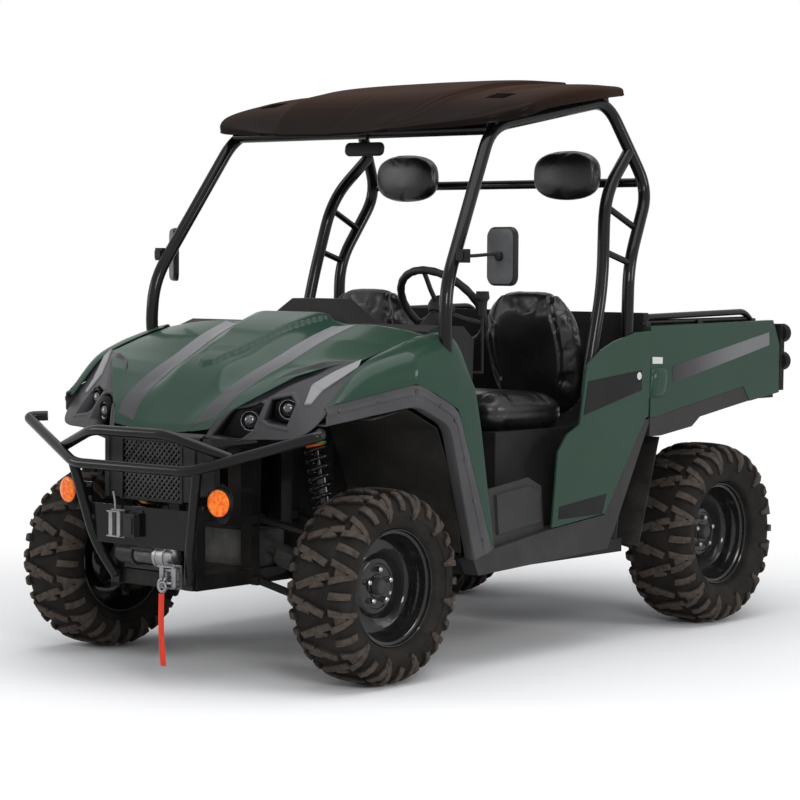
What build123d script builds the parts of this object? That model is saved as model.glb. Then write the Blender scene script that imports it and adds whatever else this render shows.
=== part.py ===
"""Side by side utility vehicle: tube cage, plastic body panels, tilting cargo bed and winch bumper.

Frame: X to the vehicle's left, Y to its rear, Z up, in millimetres. The origin is on the ground, under the
middle of the vehicle's box. Each function makes one sub-part; the table at the end writes one STEP for each.
"""
import os
from math import cos, pi, sin, sqrt

from build123d import *

# ---- driving dimensions -------------------------------------------------------------------------------
wheelbase = 1940
front_axle_y = -950
rear_axle_y = front_axle_y + wheelbase
front_wheel_radius = 322
rear_wheel_radius = 345
front_half_track = 630
rear_half_track = 625
front_tyre_width = 235
rear_tyre_width = 270
kingpin_x = 540
fit_gap = 0.3

# wheels
bead_radius = 195
lug_height = 16
lug_pitches = 18
lug_share = 0.5
lug_slant = 24
rim_sides = 20
rim_half_width = 89
rim_wall = 6
dish_radius = 158
dish_x = 15
hub_radius = 48
stub_radius = 20
brake_disc_radius = 112

# chassis
rail_x = 170
rail_width = 50
frame_bottom_z = 300
rail_height = 50
tower_top_z = 800
tower_spread = 100
side_rail_top = 370
arm_pivot_x = 210.8
lower_arm_z = 312
upper_arm_z = 520
ball_lower_z = 205
ball_upper_z = 445
arm_tube = 26
ball_boss_radius = 17
pin_radius = 8
rear_ball_x = 520
shock_seat_z = 505
shock_coils = 4
rack_y = front_axle_y + 150
rack_z = 420
hitch_size = 50.8

# front end
lamp_places = ((334, -1232, 872), (455, -1180, 896))
lamp_radius = 40
lamp_turn = 22
lamp_sides = 12
grille_x = 134
grille_bottom = 588
grille_top = 785
grille_pitch = 34
grille_bar = 4
fairlead_x = 150

hood_hinge_y = -643
hood_hinge_z = 1140
hood_hinge_x = 200
hood_ear_height = 34
hood_pin_radius = 3

# steering wheel
wheel_x = 386
wheel_y = -300
wheel_z = 1222
wheel_rim_radius = 168
wheel_grip = 14
wheel_sides = 16
column_shaft = 12
column_sleeve = 26

# body
panel = 4
body_x = 724
flare_x = 730
floor_z = frame_bottom_z + rail_height + fit_gap
firewall_y = -545
dash_half_width = 585
seat_x = 386
seat_width = 470
seat_base_top = 790
side_rail_x = seat_x + seat_width / 2 + 19
floor_half_width = side_rail_x - 25.3

# cage and bars
cage_tube = 45
brace_tube = 24
bar_tube = 35

# cargo bed
bed_front_y = 502
bed_rear_y = rear_axle_y + 412
bed_floor_z = 850
bed_half_width = 690
bed_top_z = 1150
bed_hinge_y = rear_axle_y + 160
bed_hinge_z = 720
bed_pin_radius = 8
gate_half_width = bed_half_width - 28
bed_side_x = bed_half_width + 34
rail_end_y = rear_axle_y + 300
bed_beam_z = 765
gate_hinge_y = bed_rear_y
gate_hinge_z = bed_floor_z + 14
gate_pin_radius = 4


# ---- drawing helpers ----------------------------------------------------------------------------------
def block(x0, x1, y0, y1, z0, z1):
    """A box between two opposite corners."""
    return Pos((x0 + x1) / 2, (y0 + y1) / 2, (z0 + z1) / 2) * Box(x1 - x0, y1 - y0, z1 - z0)


def joined(*solids):
    """Solids made one part, fused where they touch."""
    return Part() + list(solids)


def both_sides(solid):
    """A left hand solid with its mirror image on the right."""
    return joined(solid, mirror(solid, about=Plane.YZ))


def side_plate(outline, x0, x1, taper=0):
    """A (y, z) outline pulled from x0 to x1; its edges lean in by taper degrees towards x1."""
    face = make_face(Plane.YZ.offset(x0) * Polyline(*outline, close=True))
    return extrude(face, x1 - x0, dir=(1, 0, 0), taper=taper)


def plan_plate(outline, z0, z1):
    """An (x, y) outline pulled from z0 up to z1."""
    face = make_face(Plane.XY.offset(z0) * Polyline(*outline, close=True))
    return extrude(face, z1 - z0, dir=(0, 0, 1))


def front_plate(outline, y0, y1):
    """An (x, z) outline pulled from y0 back to y1."""
    face = make_face(Plane.XY * Polyline(*[(x, y0, z) for x, z in outline], close=True))
    return extrude(face, y1 - y0, dir=(0, 1, 0))


def flat(*corners):
    """One flat face between three or more corners."""
    return Face(Wire.make_polygon([Vector(*c) for c in corners], close=True))


def faceted(rings, split=False):
    """A closed solid through rings of corners, with one flat face for each cell, or two where split.

    A split ring lists an outer row and then the inner row backwards, so both rows fold the same way.
    """
    faces = [flat(*rings[0]), flat(*rings[-1])]
    for a, b in zip(rings, rings[1:]):
        for i in range(len(a)):
            if split and i > len(a) // 2:
                faces += [flat(a[i - 1], a[i], b[i - 1]), flat(a[i], b[i], b[i - 1])]
            elif split:
                faces += [flat(a[i - 1], a[i], b[i]), flat(a[i - 1], b[i], b[i - 1])]
            else:
                faces.append(flat(a[i - 1], a[i], b[i], b[i - 1]))
    return Part() + Solid(Shell(faces)).fix()


def turned(section, sides, around=False):
    """A turned piece along Z from (z, radius) pairs, drawn with flats.

    The corners lie on the stated radius, or the flats do where the piece goes around another.
    """
    swell = 1 / cos(pi / sides) if around else 1
    turns = [2 * pi * (i + 0.5) / sides for i in range(sides)]
    return faceted([[(r * swell * cos(t), r * swell * sin(t), z) for t in turns] for z, r in section])


def pin(z0, z1, radius):
    """A truly round pin or bore along Z, for pieces that turn on each other."""
    return Pos(0, 0, z0) * Cylinder(radius, z1 - z0, align=(Align.CENTER, Align.CENTER, Align.MIN))


def across(solid):
    """Turn a solid drawn along Z to lie along X, its top towards the vehicle's left."""
    return Rot(0, 90, 0) * solid


def rod(start, end, diameter, sides=12):
    """A round bar between two points, drawn with flats."""
    line = Vector(*end) - Vector(*start)
    return Plane(start, z_dir=line).location * turned(((0, diameter / 2), (line.length, diameter / 2)), sides)


def tube(points, diameter, ease, sides=10):
    """A bent tube: each corner is eased by two mitres, at a distance of ease along both runs."""
    path = [Vector(*points[0])]
    for before, corner, after in zip(points, points[1:], points[2:]):
        at = Vector(*corner)
        path.append(at + (Vector(*before) - at).normalized() * ease)
        path.append(at + (Vector(*after) - at).normalized() * ease)
    line = Polyline(*path, Vector(*points[-1]))
    profile = Plane(line @ 0, z_dir=line % 0) * RegularPolygon(diameter / 2, sides)
    return sweep(profile, line, transition=Transition.RIGHT)


def skin(stations, wall):
    """A moulded skin of one wall, folded through stations of points listed across the panel.

    Each station is (y, [(x, z), ...]) and the wall goes down from the points.
    """
    rings = []
    for y, points in stations:
        rings.append([(x, y, z) for x, z in points] + [(x, y, z - wall) for x, z in reversed(points)])
    return faceted(rings, split=True)


def pan(outline, x_inner, x_outer, wall, taper=0):
    """A side panel moulded like a shallow pan, open towards the middle of the vehicle."""
    face = make_face(Plane.YZ.offset(x_inner) * Polyline(*outline, close=True))
    cavity = offset(face, -wall, kind=Kind.INTERSECTION)
    outer = extrude(face, x_outer - x_inner, dir=(1, 0, 0), taper=taper)
    return outer - extrude(cavity, x_outer - x_inner - wall, dir=(1, 0, 0), taper=taper)


# ---- wheels -------------------------------------------------------------------------------------------
def tyre(radius, width, centre):
    """A knobbly tyre: a carcass with one slanted lug for each pitch on each side of the middle."""
    half = width / 2
    ground = radius - lug_height - 6
    # (x from the middle, radius) of the carcass from bead to bead
    section = ((-rim_half_width, bead_radius + 4), (-half, radius - 78), (-half + 18, ground),
               (half - 18, ground), (half, radius - 78), (rim_half_width, bead_radius + 4))
    carcass = turned(section, lug_pitches)
    lug_width = 2 * pi * radius / lug_pitches * lug_share
    tip = sqrt(radius ** 2 - (lug_width / 2) ** 2)
    root = ground - 12
    lug = Box(tip - root, lug_width, half - 14)
    lugs = []
    for i in range(lug_pitches):
        for side in (-1, 1):
            seat = Pos((tip + root) / 2, 0, side * half / 2) * Rot(side * lug_slant, 0, 0)
            lugs.append(Rot(0, 0, i * 360 / lug_pitches) * seat * lug)
    bore = turned(((-width, bead_radius + fit_gap), (width, bead_radius + fit_gap)), rim_sides)
    return Pos(*centre) * across(carcass + lugs - bore)


def rim(centre, side):
    """A deep dished steel rim with its hub, brake disc and stub axle, turned about the axle."""
    w = rim_half_width
    back = dish_x - 17
    lip = bead_radius - rim_wall
    wheel = turned(((-w, bead_radius), (w, bead_radius)), rim_sides)
    wheel -= turned(((dish_x, dish_radius), (w + 1, lip)), rim_sides)
    wheel -= turned(((-w - 1, lip), (back, dish_radius)), rim_sides)
    hub = turned(((dish_x - 52, hub_radius), (back + 1, hub_radius)), 12)
    cap = turned(((dish_x - 1, 30), (dish_x + 26, 24)), 12)
    disc = turned(((dish_x - 58, brake_disc_radius), (dish_x - 52, brake_disc_radius)), 16)
    stub = pin(-72, dish_x - 57, stub_radius)
    wheel = across(wheel + hub + cap + disc + stub)
    if side < 0:
        wheel = mirror(wheel, about=Plane.YZ)
    return Pos(*centre) * wheel


# ---- chassis ------------------------------------------------------------------------------------------
def chassis_frame():
    """A welded ladder of box rails with front and rear towers, side rails, the bed's pivots and a hitch."""
    z0 = frame_bottom_z
    z1 = z0 + rail_height
    xi = rail_x - rail_width / 2
    xo = rail_x + rail_width / 2
    bed_rail_z = bed_hinge_z - 60
    members = [block(xi, xo, -1330, rail_end_y, z0, z1), block(xi, xo, -1330, -620, tower_top_z - 40, tower_top_z),
               block(xi, xo, 470, bed_hinge_y + 50, bed_rail_z, bed_rail_z + 40)]
    # (y of a post's middle, its top): nose, front towers, cowl, seat back, bed, rear towers
    posts = ((-1310, tower_top_z), (front_axle_y - tower_spread, tower_top_z),
             (front_axle_y + tower_spread, tower_top_z), (-640, tower_top_z), (490, bed_rail_z), (700, bed_rail_z),
             (rear_axle_y - tower_spread, bed_rail_z), (rear_axle_y + tower_spread, bed_rail_z))
    for y, top in posts:
        members.append(block(xi, xo, y - 20, y + 20, z1, top))
    members.append(block(xi, xo, bed_hinge_y - 25, bed_hinge_y + 25, bed_rail_z + 40, bed_hinge_z + 18))
    # side rails under the cab's edges, on outriggers
    members.append(block(side_rail_x - 20, side_rail_x + 20, -500, 420, z0 + 20, side_rail_top))
    for y in (-500, 380):
        members.append(block(xo, side_rail_x - 20, y, y + 40, z0 + 20, z1))
    # bars that carry the shocks' top eyes
    members.append(block(xi, 395, front_axle_y - 15, front_axle_y + 15, tower_top_z, tower_top_z + 20))
    members.append(block(xi, 360, rear_axle_y - 15, rear_axle_y + 15, bed_rail_z + 40, bed_rail_z + 60))
    cross = [block(-xi, xi, y, y + 40, z0, z1) for y in (-1330, -1070, -660, -60, 480, rear_axle_y - 120, rail_end_y - 40)]
    cross += [block(-xi, xi, y, y + 40, tower_top_z - 40, tower_top_z) for y in (-1330, -660)]
    cross += [block(-xi, xi, y, y + 40, bed_rail_z, bed_rail_z + 40) for y in (470, bed_hinge_y + 10)]
    frame = joined(both_sides(joined(*members)), *cross)
    hinge_bore = Pos(0, bed_hinge_y, bed_hinge_z) * across(pin(-300, 300, bed_pin_radius + fit_gap))
    half = hitch_size / 2 + 6
    hitch = block(-half, half, rail_end_y, rail_end_y + 130, z0 - 6, z0 + hitch_size + 6)
    hitch -= block(-hitch_size / 2, hitch_size / 2, rail_end_y + 10, rail_end_y + 140, z0, z0 + hitch_size)
    return joined(frame - hinge_bore, hitch)


def floor_pan():
    """The cab floor and firewall, one moulded sheet on the side rails."""
    t = panel
    profile = [(firewall_y, 950), (firewall_y, 640), (-500, floor_z), (-290, floor_z), (-290, floor_z + t),
               (-500 + t, floor_z + t), (firewall_y + t, 641), (firewall_y + t, 950)]
    return side_plate(profile, -floor_half_width, floor_half_width)


def seat_base():
    """A hollow riser under both seats, open below and behind, around the engine."""
    w = floor_half_width
    shell = block(-w, w, -285, 420, floor_z, seat_base_top)
    return shell - block(-w + panel, w - panel, -285 + panel, 421, floor_z - 1, seat_base_top - panel)


def rocker_panels():
    """Black sill panels with the strip behind the door and the foot guard in the door opening."""
    sill = [(-511, 322), (-541, 376), (-436, 404), (-110, 446), (216, 474), (466, 806), (496, 806), (496, 790),
            (285, 420), (240, 350)]
    guard = [(-412, 404), (-432, 608), (-205, 634), (-130, 600), (-112, 443)]
    inset = [(-385, 447), (-400, 588), (-215, 608), (-150, 580), (-135, 472)]
    left = pan(sill, side_rail_x + 20 + fit_gap, body_x - 2, panel)
    shield = side_plate(guard, 690, 698) + side_plate(inset, 698, 708, taper=20)
    return both_sides(left + shield)


def front_fenders():
    """Green front fenders: a crowned top that rolls over to the side strip behind the wheel arch."""
    # y of the station, then (x, z) at the hood's edge, the shoulder and the top of the flare
    stations = ((-1150, ((586, 905), (604, 912), (622, 900))),
                (-1060, ((590, 978), (640, 968), (668, 930))),
                (-965, ((600, 1056), (672, 1020), (700, 958))),
                (-830, ((604, 1098), (690, 1060), (body_x - 4, 986))),
                (-700, ((606, 1130), (700, 1098), (body_x, 940))),
                (-622, ((606, 1148), (700, 1116), (body_x, 900))))
    top = skin(stations, panel)
    strip = [(-700, 930), (-630, 892), (-443, 404), (-435, 411), (-541, 957), (-622, 1100), (-690, 1080)]
    side = side_plate(strip, body_x - panel - 1, body_x)
    return both_sides(joined(top, side))


def fender_flares():
    """Dark grey flares round the front wheel arches: an outer band with a lip turned in."""
    band = [(-1165, 915), (-840, 984), (-632, 890), (-443, 404), (-541, 377), (-678, 834), (-845, 909),
            (-1165, 850)]
    lip = [(-541, 377), (-678, 834), (-845, 909), (-1165, 850), (-1165, 857), (-843, 917), (-671, 839),
           (-532, 380)]
    outer = [(608, -1170), (flare_x - 4, -850), (flare_x, -780), (flare_x, -400)]
    face = [(x - 5, y) for x, y in reversed(outer)]
    deep = [(x - 40, y) for x, y in reversed(outer)]
    skin_band = side_plate(band, 560, 760) & plan_plate(outer + face, 300, 1100)
    skin_lip = side_plate(lip, 520, 760) & plan_plate(outer + deep, 300, 1100)
    return both_sides(skin_band + skin_lip)


def wheel_liners():
    """Black inner liners: an arch sheet behind each front wheel and a mud guard ahead of each rear wheel."""
    arch = [(-1020, 868), (-846, 896), (-690, 826), (-585, 600), (-556, 400), (-553, 400), (-582, 600),
            (-686, 829), (-846, 900), (-1020, 872)]
    back = rear_axle_y - 392
    guard = [(back, 735), (back - 13, 700), (back - 128, 340), (back - 124, 340), (back - 9, 699), (back + 4, 735)]
    inner = rail_x + rail_width / 2
    return both_sides(joined(side_plate(arch, inner, 680), side_plate(guard, inner, 700)))


# ---- front ---------------------------------------------------------------------------------------------
def hood():
    """The bonnet: a crowned panel with a valley along each stripe, hinged at its rear edge."""
    # y of the station, then (x, z) at the middle, the valley and the outer edge
    stations = ((-1303, ((0, 822), (150, 830), (222, 842))),
                (-1250, ((0, 880), (190, 896), (262, 892))),
                (-1110, ((0, 1022), (212, 974), (384, 1004))),
                (-965, ((0, 1086), (232, 1042), (580, 1056))),
                (-820, ((0, 1150), (248, 1112), (594, 1102))),
                (-650, ((0, 1200), (266, 1174), (597, 1144))))
    x = hood_hinge_x
    ear = block(x, x + 8, -668, hood_hinge_y + 4, hood_hinge_z - 10, hood_hinge_z + hood_ear_height)
    stud = Pos(x + 4, hood_hinge_y, hood_hinge_z) * across(pin(0, 16, hood_pin_radius))
    return both_sides(joined(skin(stations, panel), ear, stud))


def front_fascia():
    """Grey lamp bezels and the grille surround between them."""
    # each row: upper inner point and lower outer point of the bezel, from the grille out to the brow's tip
    rows = (((236, -1296, 842), (224, -1312, 800)),
            ((300, -1236, 908), (400, -1268, 812)),
            ((420, -1092, 1018), (574, -1192, 850)),
            ((584, -985, 1048), (600, -1010, 1020)))
    rings = []
    for upper, lower in rows:
        back = [(x, y + 5, z - 3) for x, y, z in (lower, upper)]
        rings.append([upper, lower, *back])
    bezel = faceted(rings, split=True)
    hole = turned(((-100, lamp_radius + fit_gap), (100, lamp_radius + fit_gap)), lamp_sides)
    for place in lamp_places:
        bezel -= lamp_place(*place) * hole
    surround = front_plate([(-218, 806), (-228, grille_bottom - 3), (228, grille_bottom - 3), (218, 806)],
                           -1345, -1330 - fit_gap)
    surround -= front_plate([(-grille_x, grille_top), (-grille_x, grille_bottom), (grille_x, grille_bottom),
                             (grille_x, grille_top)], -1350, -1330)
    return joined(both_sides(bezel), surround)


def lamp_place(x, y, z):
    """The frame of one lamp: its axis points forwards and a little outwards."""
    return Pos(x, y, z) * Rot(0, 0, lamp_turn) * Rot(90, 0, 0)


def headlamps():
    """Two projector lamps on each side: a bowl with a lens dome in its middle."""
    r = lamp_radius
    body = turned(((-40, r), (22, r)), lamp_sides)
    bowl = turned(((-10, r - 14), (23, r - 4)), lamp_sides)
    dome = turned(((-11, 22), (2, 20), (10, 10)), 10)
    lamp = body - bowl + dome
    return both_sides(joined(*[lamp_place(*place) * lamp for place in lamp_places]))


def grille_mesh():
    """A diamond mesh clipped into the fascia's window: two layers of bars, leaning opposite ways."""
    width = 2 * (grille_x - fit_gap)
    height = grille_top - grille_bottom - 2 * fit_gap
    border = Box(width, 6, height) - Box(width - 10, 10, height - 10)
    reach = int((width + height) / 2 / grille_pitch)
    bars = []
    for y, lean in ((-1.6, -45), (1.6, 45)):
        for i in range(-reach, reach + 1):
            bars.append(Pos(i * grille_pitch, y, 0) * Rot(0, lean, 0) * Box(grille_bar, 2.8, 500))
    mesh = Part() + [bar & Box(width - 4, 10, height - 4) for bar in bars]
    return Pos(0, -1338, (grille_top + grille_bottom) / 2) * (mesh + border)


def indicators():
    """Round amber indicators on brackets beside the bull bar's legs."""
    lamp = turned(((-13, 46), (8, 46), (13, 38)), 12)
    return both_sides(Pos(352, -1385, 605) * Rot(90, 0, 0) * lamp)


def bull_bar():
    """The bumper: a wide main tube with curled ends, an upper hoop, two legs and a winch plate."""
    main = [(610, -1185, 826), (645, -1236, 842), (270, -1441, 703)]
    main += [(-x, y, z) for x, y, z in reversed(main)]
    hoop = [(391, -1373, 750), (179, -1446, 819), (-179, -1446, 819), (-391, -1373, 750)]
    leg = [(292, -1427, 712), (222, -1390, 441), (172, -1342, 327)]
    foot = block(152, 192, -1346, -1330 - fit_gap, 302, 348)
    stay = rod((240, -1398, 520), (172, -1338, 520), 26)
    toe = block(152, 192, -1342, -1330 - fit_gap, 500, 540)
    tab = block(258, 380, -1371.7, -1366, 575, 635) + block(258, 285, -1400, -1366, 590, 620)
    side = joined(tube(leg, bar_tube, 22), foot, stay, toe, tab)
    plate = front_plate([(-250, 570), (-222, 440), (222, 440), (250, 570)], -1396, -1391)
    return joined(tube(main, bar_tube, 24), tube(hoop, bar_tube, 24), both_sides(side), plate)


def winch():
    """An electric winch: motor and gearbox either side of a drum, on a tray bolted behind the plate."""
    y = -1345
    z = 393
    drum = Pos(-130, y, z) * across(turned(((0, 25), (260, 25)), 16))
    motor = Pos(-140, y, z) * across(turned(((0, 38), (110, 38)), 16))
    gearbox = Pos(92, y, z) * across(turned(((0, 38), (46, 38)), 16))
    tray = block(-140, 140, -1391 + fit_gap, -1331, 350.3, 356)
    flange = block(-140, 140, -1391 + fit_gap, -1386, 350.3, 460)
    return joined(drum, motor, gearbox, tray, flange)


def fairlead():
    """A roller fairlead on the winch's tray, with the hook on its rope in front of it."""
    cx = fairlead_x
    body = block(cx - 42, cx + 42, -1424, -1391, 312, 392) - block(cx - 16, cx + 16, -1440, -1380, 326, 378)
    rollers = [Pos(cx + s * 25, -1427, 317) * turned(((0, 9), (70, 9)), 10) for s in (-1, 1)]
    rope = rod((cx, -1393, 356), (cx, -1444, 340), 7, 8)
    hook = Pos(cx, -1440, 322) * Rot(90, 0, 0) * turned(((0, 20), (12, 20)), 12)
    hook -= Pos(cx, -1430, 319) * Rot(90, 0, 0) * turned(((0, 10), (30, 10)), 8)
    tang = block(cx - 50, cx + 42, -1396, -1391, 350, 392)
    return joined(body, *rollers, rope, hook, tang)


def winch_strap():
    """The red pull strap that hangs from the hook."""
    return block(fairlead_x - 12, fairlead_x + 12, -1448, -1445, 66, 301.7)


# ---- steering and suspension -----------------------------------------------------------------------------
def control_arm(axle_y, pivot_z, ball_z, ball_x, shock_x=None):
    """One wishbone: two tubes from the frame's pivots to a ball boss, with a seat for a shock if asked."""
    arm = Pos(ball_x, axle_y, ball_z - 19) * turned(((0, ball_boss_radius), (38, ball_boss_radius)), 8)
    for y in (axle_y - tower_spread, axle_y + tower_spread):
        arm += rod((arm_pivot_x, y, pivot_z), (ball_x, axle_y, ball_z), arm_tube, 6)
        arm += block(arm_pivot_x - 15.5, arm_pivot_x + 12, y - 22, y + 22, pivot_z - 14, pivot_z + 14)
    if shock_x:
        arm += block(shock_x - 17, shock_x + 17, axle_y - 45, axle_y + 45, shock_seat_z - 26, shock_seat_z)
    return arm


def suspension_arms():
    """Upper and lower wishbones of the four wheels, with the rear hub carriers."""
    y = rear_axle_y
    z = rear_wheel_radius
    clear = pin_radius + fit_gap
    pin_hole = Pos(kingpin_x, front_axle_y, 0) * pin(100, 600, clear)
    front = [control_arm(front_axle_y, lower_arm_z, ball_lower_z, kingpin_x) - pin_hole,
             control_arm(front_axle_y, upper_arm_z, ball_upper_z, kingpin_x, 425) - pin_hole]
    rear = control_arm(y, lower_arm_z, 228, rear_ball_x)
    rear += control_arm(y, upper_arm_z, 462, rear_ball_x, 400)
    rear += Pos(rear_ball_x - 10, y, z) * across(turned(((0, 50), (60, 50)), 12))
    rear += block(rear_ball_x - 16, rear_ball_x + 16, y - 16, y + 16, 215, 475)
    rear -= Pos(rear_ball_x - 30, y, z) * across(pin(0, 100, stub_radius + fit_gap))
    return both_sides(joined(*front, rear))


def shock(top, bottom):
    """A coil-over shock: eye ends, damper body and a spring drawn as stacked coils."""
    line = Vector(*top) - Vector(*bottom)
    coil_start = 78
    coil_length = line.length - coil_start - 24
    section = [(0, 14), (coil_start - 12, 14), (coil_start - 11, 44), (coil_start, 44)]
    for i in range(shock_coils):
        section += [(coil_start + (i + 0.25) * coil_length / shock_coils, 35),
                    (coil_start + (i + 0.75) * coil_length / shock_coils, 43)]
    section += [(line.length - 23, 36), (line.length - 20, 14), (line.length, 14)]
    return Plane(bottom, z_dir=line).location * turned(section, 8)


def shocks():
    """The four coil-over shocks, from the upper wishbones to the frame."""
    front = shock((368, front_axle_y, tower_top_z - 3.5), (425, front_axle_y, shock_seat_z + 3.5))
    rear = shock((335, rear_axle_y, bed_hinge_z - 24), (400, rear_axle_y, shock_seat_z + 5))
    return both_sides(joined(front, rear))


def knuckle():
    """The left front knuckle: a bored hub carrier with kingpins and a steering arm."""
    y = front_axle_y
    z = front_wheel_radius
    body = Pos(520, y, z) * across(turned(((0, 46), (50, 46)), 12))
    body += block(524, 556, y - 20, y + 20, ball_lower_z + 25, ball_upper_z - 19.3)
    body += Pos(kingpin_x, y, 0) * pin(ball_lower_z - 14, ball_upper_z + 14, pin_radius)
    body += plan_plate([(528, y + 15), (558, y + 15), (536, y + 130), (510, y + 130)], 285, 299)
    cavity = Pos(510, y, z) * across(turned(((0, 33), (48, 33)), 12))
    return body - cavity - Pos(500, y, z) * across(pin(0, 100, stub_radius + fit_gap))


def steering_rack():
    """The rack bar with its tie rods, one sliding piece; the rod eyes ride above the knuckle arms."""
    y = rack_y
    z = rack_z
    end = (522, front_axle_y + 116, 318)
    rack = rod((-230, y, z), (230, y, z), 28)
    tie = rod((226, y, z), end, 18, 10)
    tie += Pos(end[0], end[1], 305) * turned(((0, 14), (24, 14)), 10)
    return joined(rack, both_sides(tie))


def rack_housing():
    """The steering rack's housing on the frame rails."""
    shell = Pos(-120, rack_y, rack_z) * across(turned(((0, 29), (240, 29)), 16))
    bore = turned(((0, 14 + fit_gap), (300, 14 + fit_gap)), 12, around=True)
    foot = both_sides(block(90, rail_x + 10, rack_y - 18, rack_y + 18, frame_bottom_z + rail_height + fit_gap,
                            rack_z - 18))
    return joined(shell, foot) - Pos(-150, rack_y, rack_z) * across(bore)


column_place = Plane((wheel_x, wheel_y, wheel_z), x_dir=(1, 0, 0), z_dir=(0, 0.766, 0.643)).location


def steering_wheel():
    """A three spoke wheel on its shaft."""
    turns = [2 * pi * i / wheel_sides for i in range(wheel_sides)]
    path = Polyline(*[(wheel_rim_radius * cos(t), wheel_rim_radius * sin(t), 0) for t in turns], close=True)
    ring = sweep(Plane(path @ 0, z_dir=path % 0) * RegularPolygon(wheel_grip, 6), path,
                 transition=Transition.RIGHT)
    hub = turned(((-36, 42), (-8, 42)), 16)
    shaft = pin(-220, -35, column_shaft)
    spokes = [Rot(0, 0, a) * Pos(96, 0, -12) * Box(140, 26, 10) for a in (30, 150, 270)]
    return column_place * joined(ring, hub, shaft, *spokes)


def column_and_lever():
    """The fixed column sleeve and the gear lever, both carried by the dashboard."""
    sleeve = turned(((-230, column_sleeve), (-70, column_sleeve)), 12)
    sleeve -= pin(-240, -60, column_shaft + fit_gap)
    lever = rod((555, -385, 1000), (600, -346, 1000), 10, 8) + rod((600, -346, 996), (600, -346, 1220), 10, 8)
    knob = Pos(600, -346, 1196) * turned(((0, 14), (48, 17), (60, 25), (84, 22)), 12)
    return joined(column_place * sleeve, lever, knob)


def half_shafts():
    """The front and rear differentials with their half shafts and boots."""
    solids = []
    # axle y, half length of the case, wheel axis height, end of the shaft, ball radius at its end
    for y, half, z, end, ball in ((front_axle_y, 75, front_wheel_radius, kingpin_x, 19),
                                  (rear_axle_y, 75, rear_wheel_radius, 533, 16)):
        case_top = 470
        out_z = z + 82
        solids.append(block(-165, 165, y - half, y + half, frame_bottom_z + rail_height + fit_gap, case_top))
        slope = (out_z - z) / (end - 160)
        shaft = rod((160, y, out_z), (end, y, z), 24, 8)
        boot = rod((225, y, out_z - 65 * slope), (295, y, out_z - 135 * slope), 80, 10)
        knob = Pos(end - 4, y, z - ball) * turned(((0, ball * 0.6), (ball, ball), (2 * ball, ball * 0.6)), 8)
        solids.append(both_sides(joined(shaft, boot, knob)))
    return joined(*solids)


def engine_block():
    """Engine and gearbox: one plain block on the rails under the seats, with the muffler behind it."""
    power = block(-175, 175, -200, 380, frame_bottom_z + rail_height + fit_gap, 760)
    muffler = Pos(-190, 595, 560) * across(turned(((0, 60), (20, 80), (360, 80), (380, 60)), 16))
    pipe = rod((60, 375, 560), (60, 600, 560), 44)
    return joined(power, muffler, pipe)


# ---- cab ---------------------------------------------------------------------------------------------
def dashboard():
    """The dash and windscreen cowl, one closed moulding, bored for the steering column."""
    y = firewall_y + 6
    profile = [(-622, 1146), (-560, 1166), (-430, 1160), (-372, 1112), (-380, 960), (y, 950.3),
               (firewall_y, 950.3), (firewall_y, 1080), (-622, 1110)]
    dash = side_plate(profile, -dash_half_width, dash_half_width)
    # the binnacle: (x, y, z) of its foot and of its top
    foot = [(-225, -604, 1140), (225, -604, 1140), (225, -420, 1140), (-225, -420, 1140)]
    top = [(-90, -560, 1248), (110, -560, 1248), (110, -470, 1248), (-90, -470, 1248)]
    dash += faceted([foot, top])
    dash -= column_place * turned(((-400, column_sleeve + fit_gap), (100, column_sleeve + fit_gap)), 12)
    x = hood_hinge_x + 8 + fit_gap
    ear = block(x, x + 9, hood_hinge_y - 6, -590, hood_hinge_z - 7, hood_hinge_z + 7)
    ear -= Pos(x - 5, hood_hinge_y, hood_hinge_z) * across(pin(0, 20, hood_pin_radius + fit_gap))
    return joined(dash, both_sides(ear))


def seat_cushions():
    """Two seat cushions, as plain soft solids."""
    bottom = seat_base_top + fit_gap
    outline = [(-295, bottom), (-315, 800), (-315, 885), (-260, 912), (150, 892), (165, 800), (150, bottom)]
    return both_sides(side_plate(outline, seat_x - seat_width / 2, seat_x + seat_width / 2))


def seat_backs():
    """Two seat backs, as plain soft solids."""
    bottom = seat_base_top + fit_gap
    outline = [(166, bottom), (166, 892), (262, 1270), (290, 1300), (330, 1290), (340, 1250), (262, bottom)]
    return both_sides(side_plate(outline, seat_x - seat_width / 2 + 3, seat_x + seat_width / 2 - 3))


def headrests():
    """Oval headrest pads on the cage's cross tube."""
    corners = [2 * pi * i / 16 for i in range(16)]
    rings = []
    # (y, share of the full oval) from the front face back
    for y, share in ((405, 0.85), (420, 1), (468, 1)):
        rings.append([(seat_x + 135 * share * cos(t), y, 1700 + 90 * share * sin(t)) for t in corners])
    return both_sides(faceted(rings))


def quarter_panels():
    """Green panels behind the door openings."""
    outline = [(-110, 452), (-78, 716), (-26, 775), (51, 808), (92, 1016), (161, 1062), (255, 1097),
               (392, 1127), (495, 1131), (478, 817), (462, 812), (212, 480)]
    return both_sides(pan(outline, 722.3, 732, panel))


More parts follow.
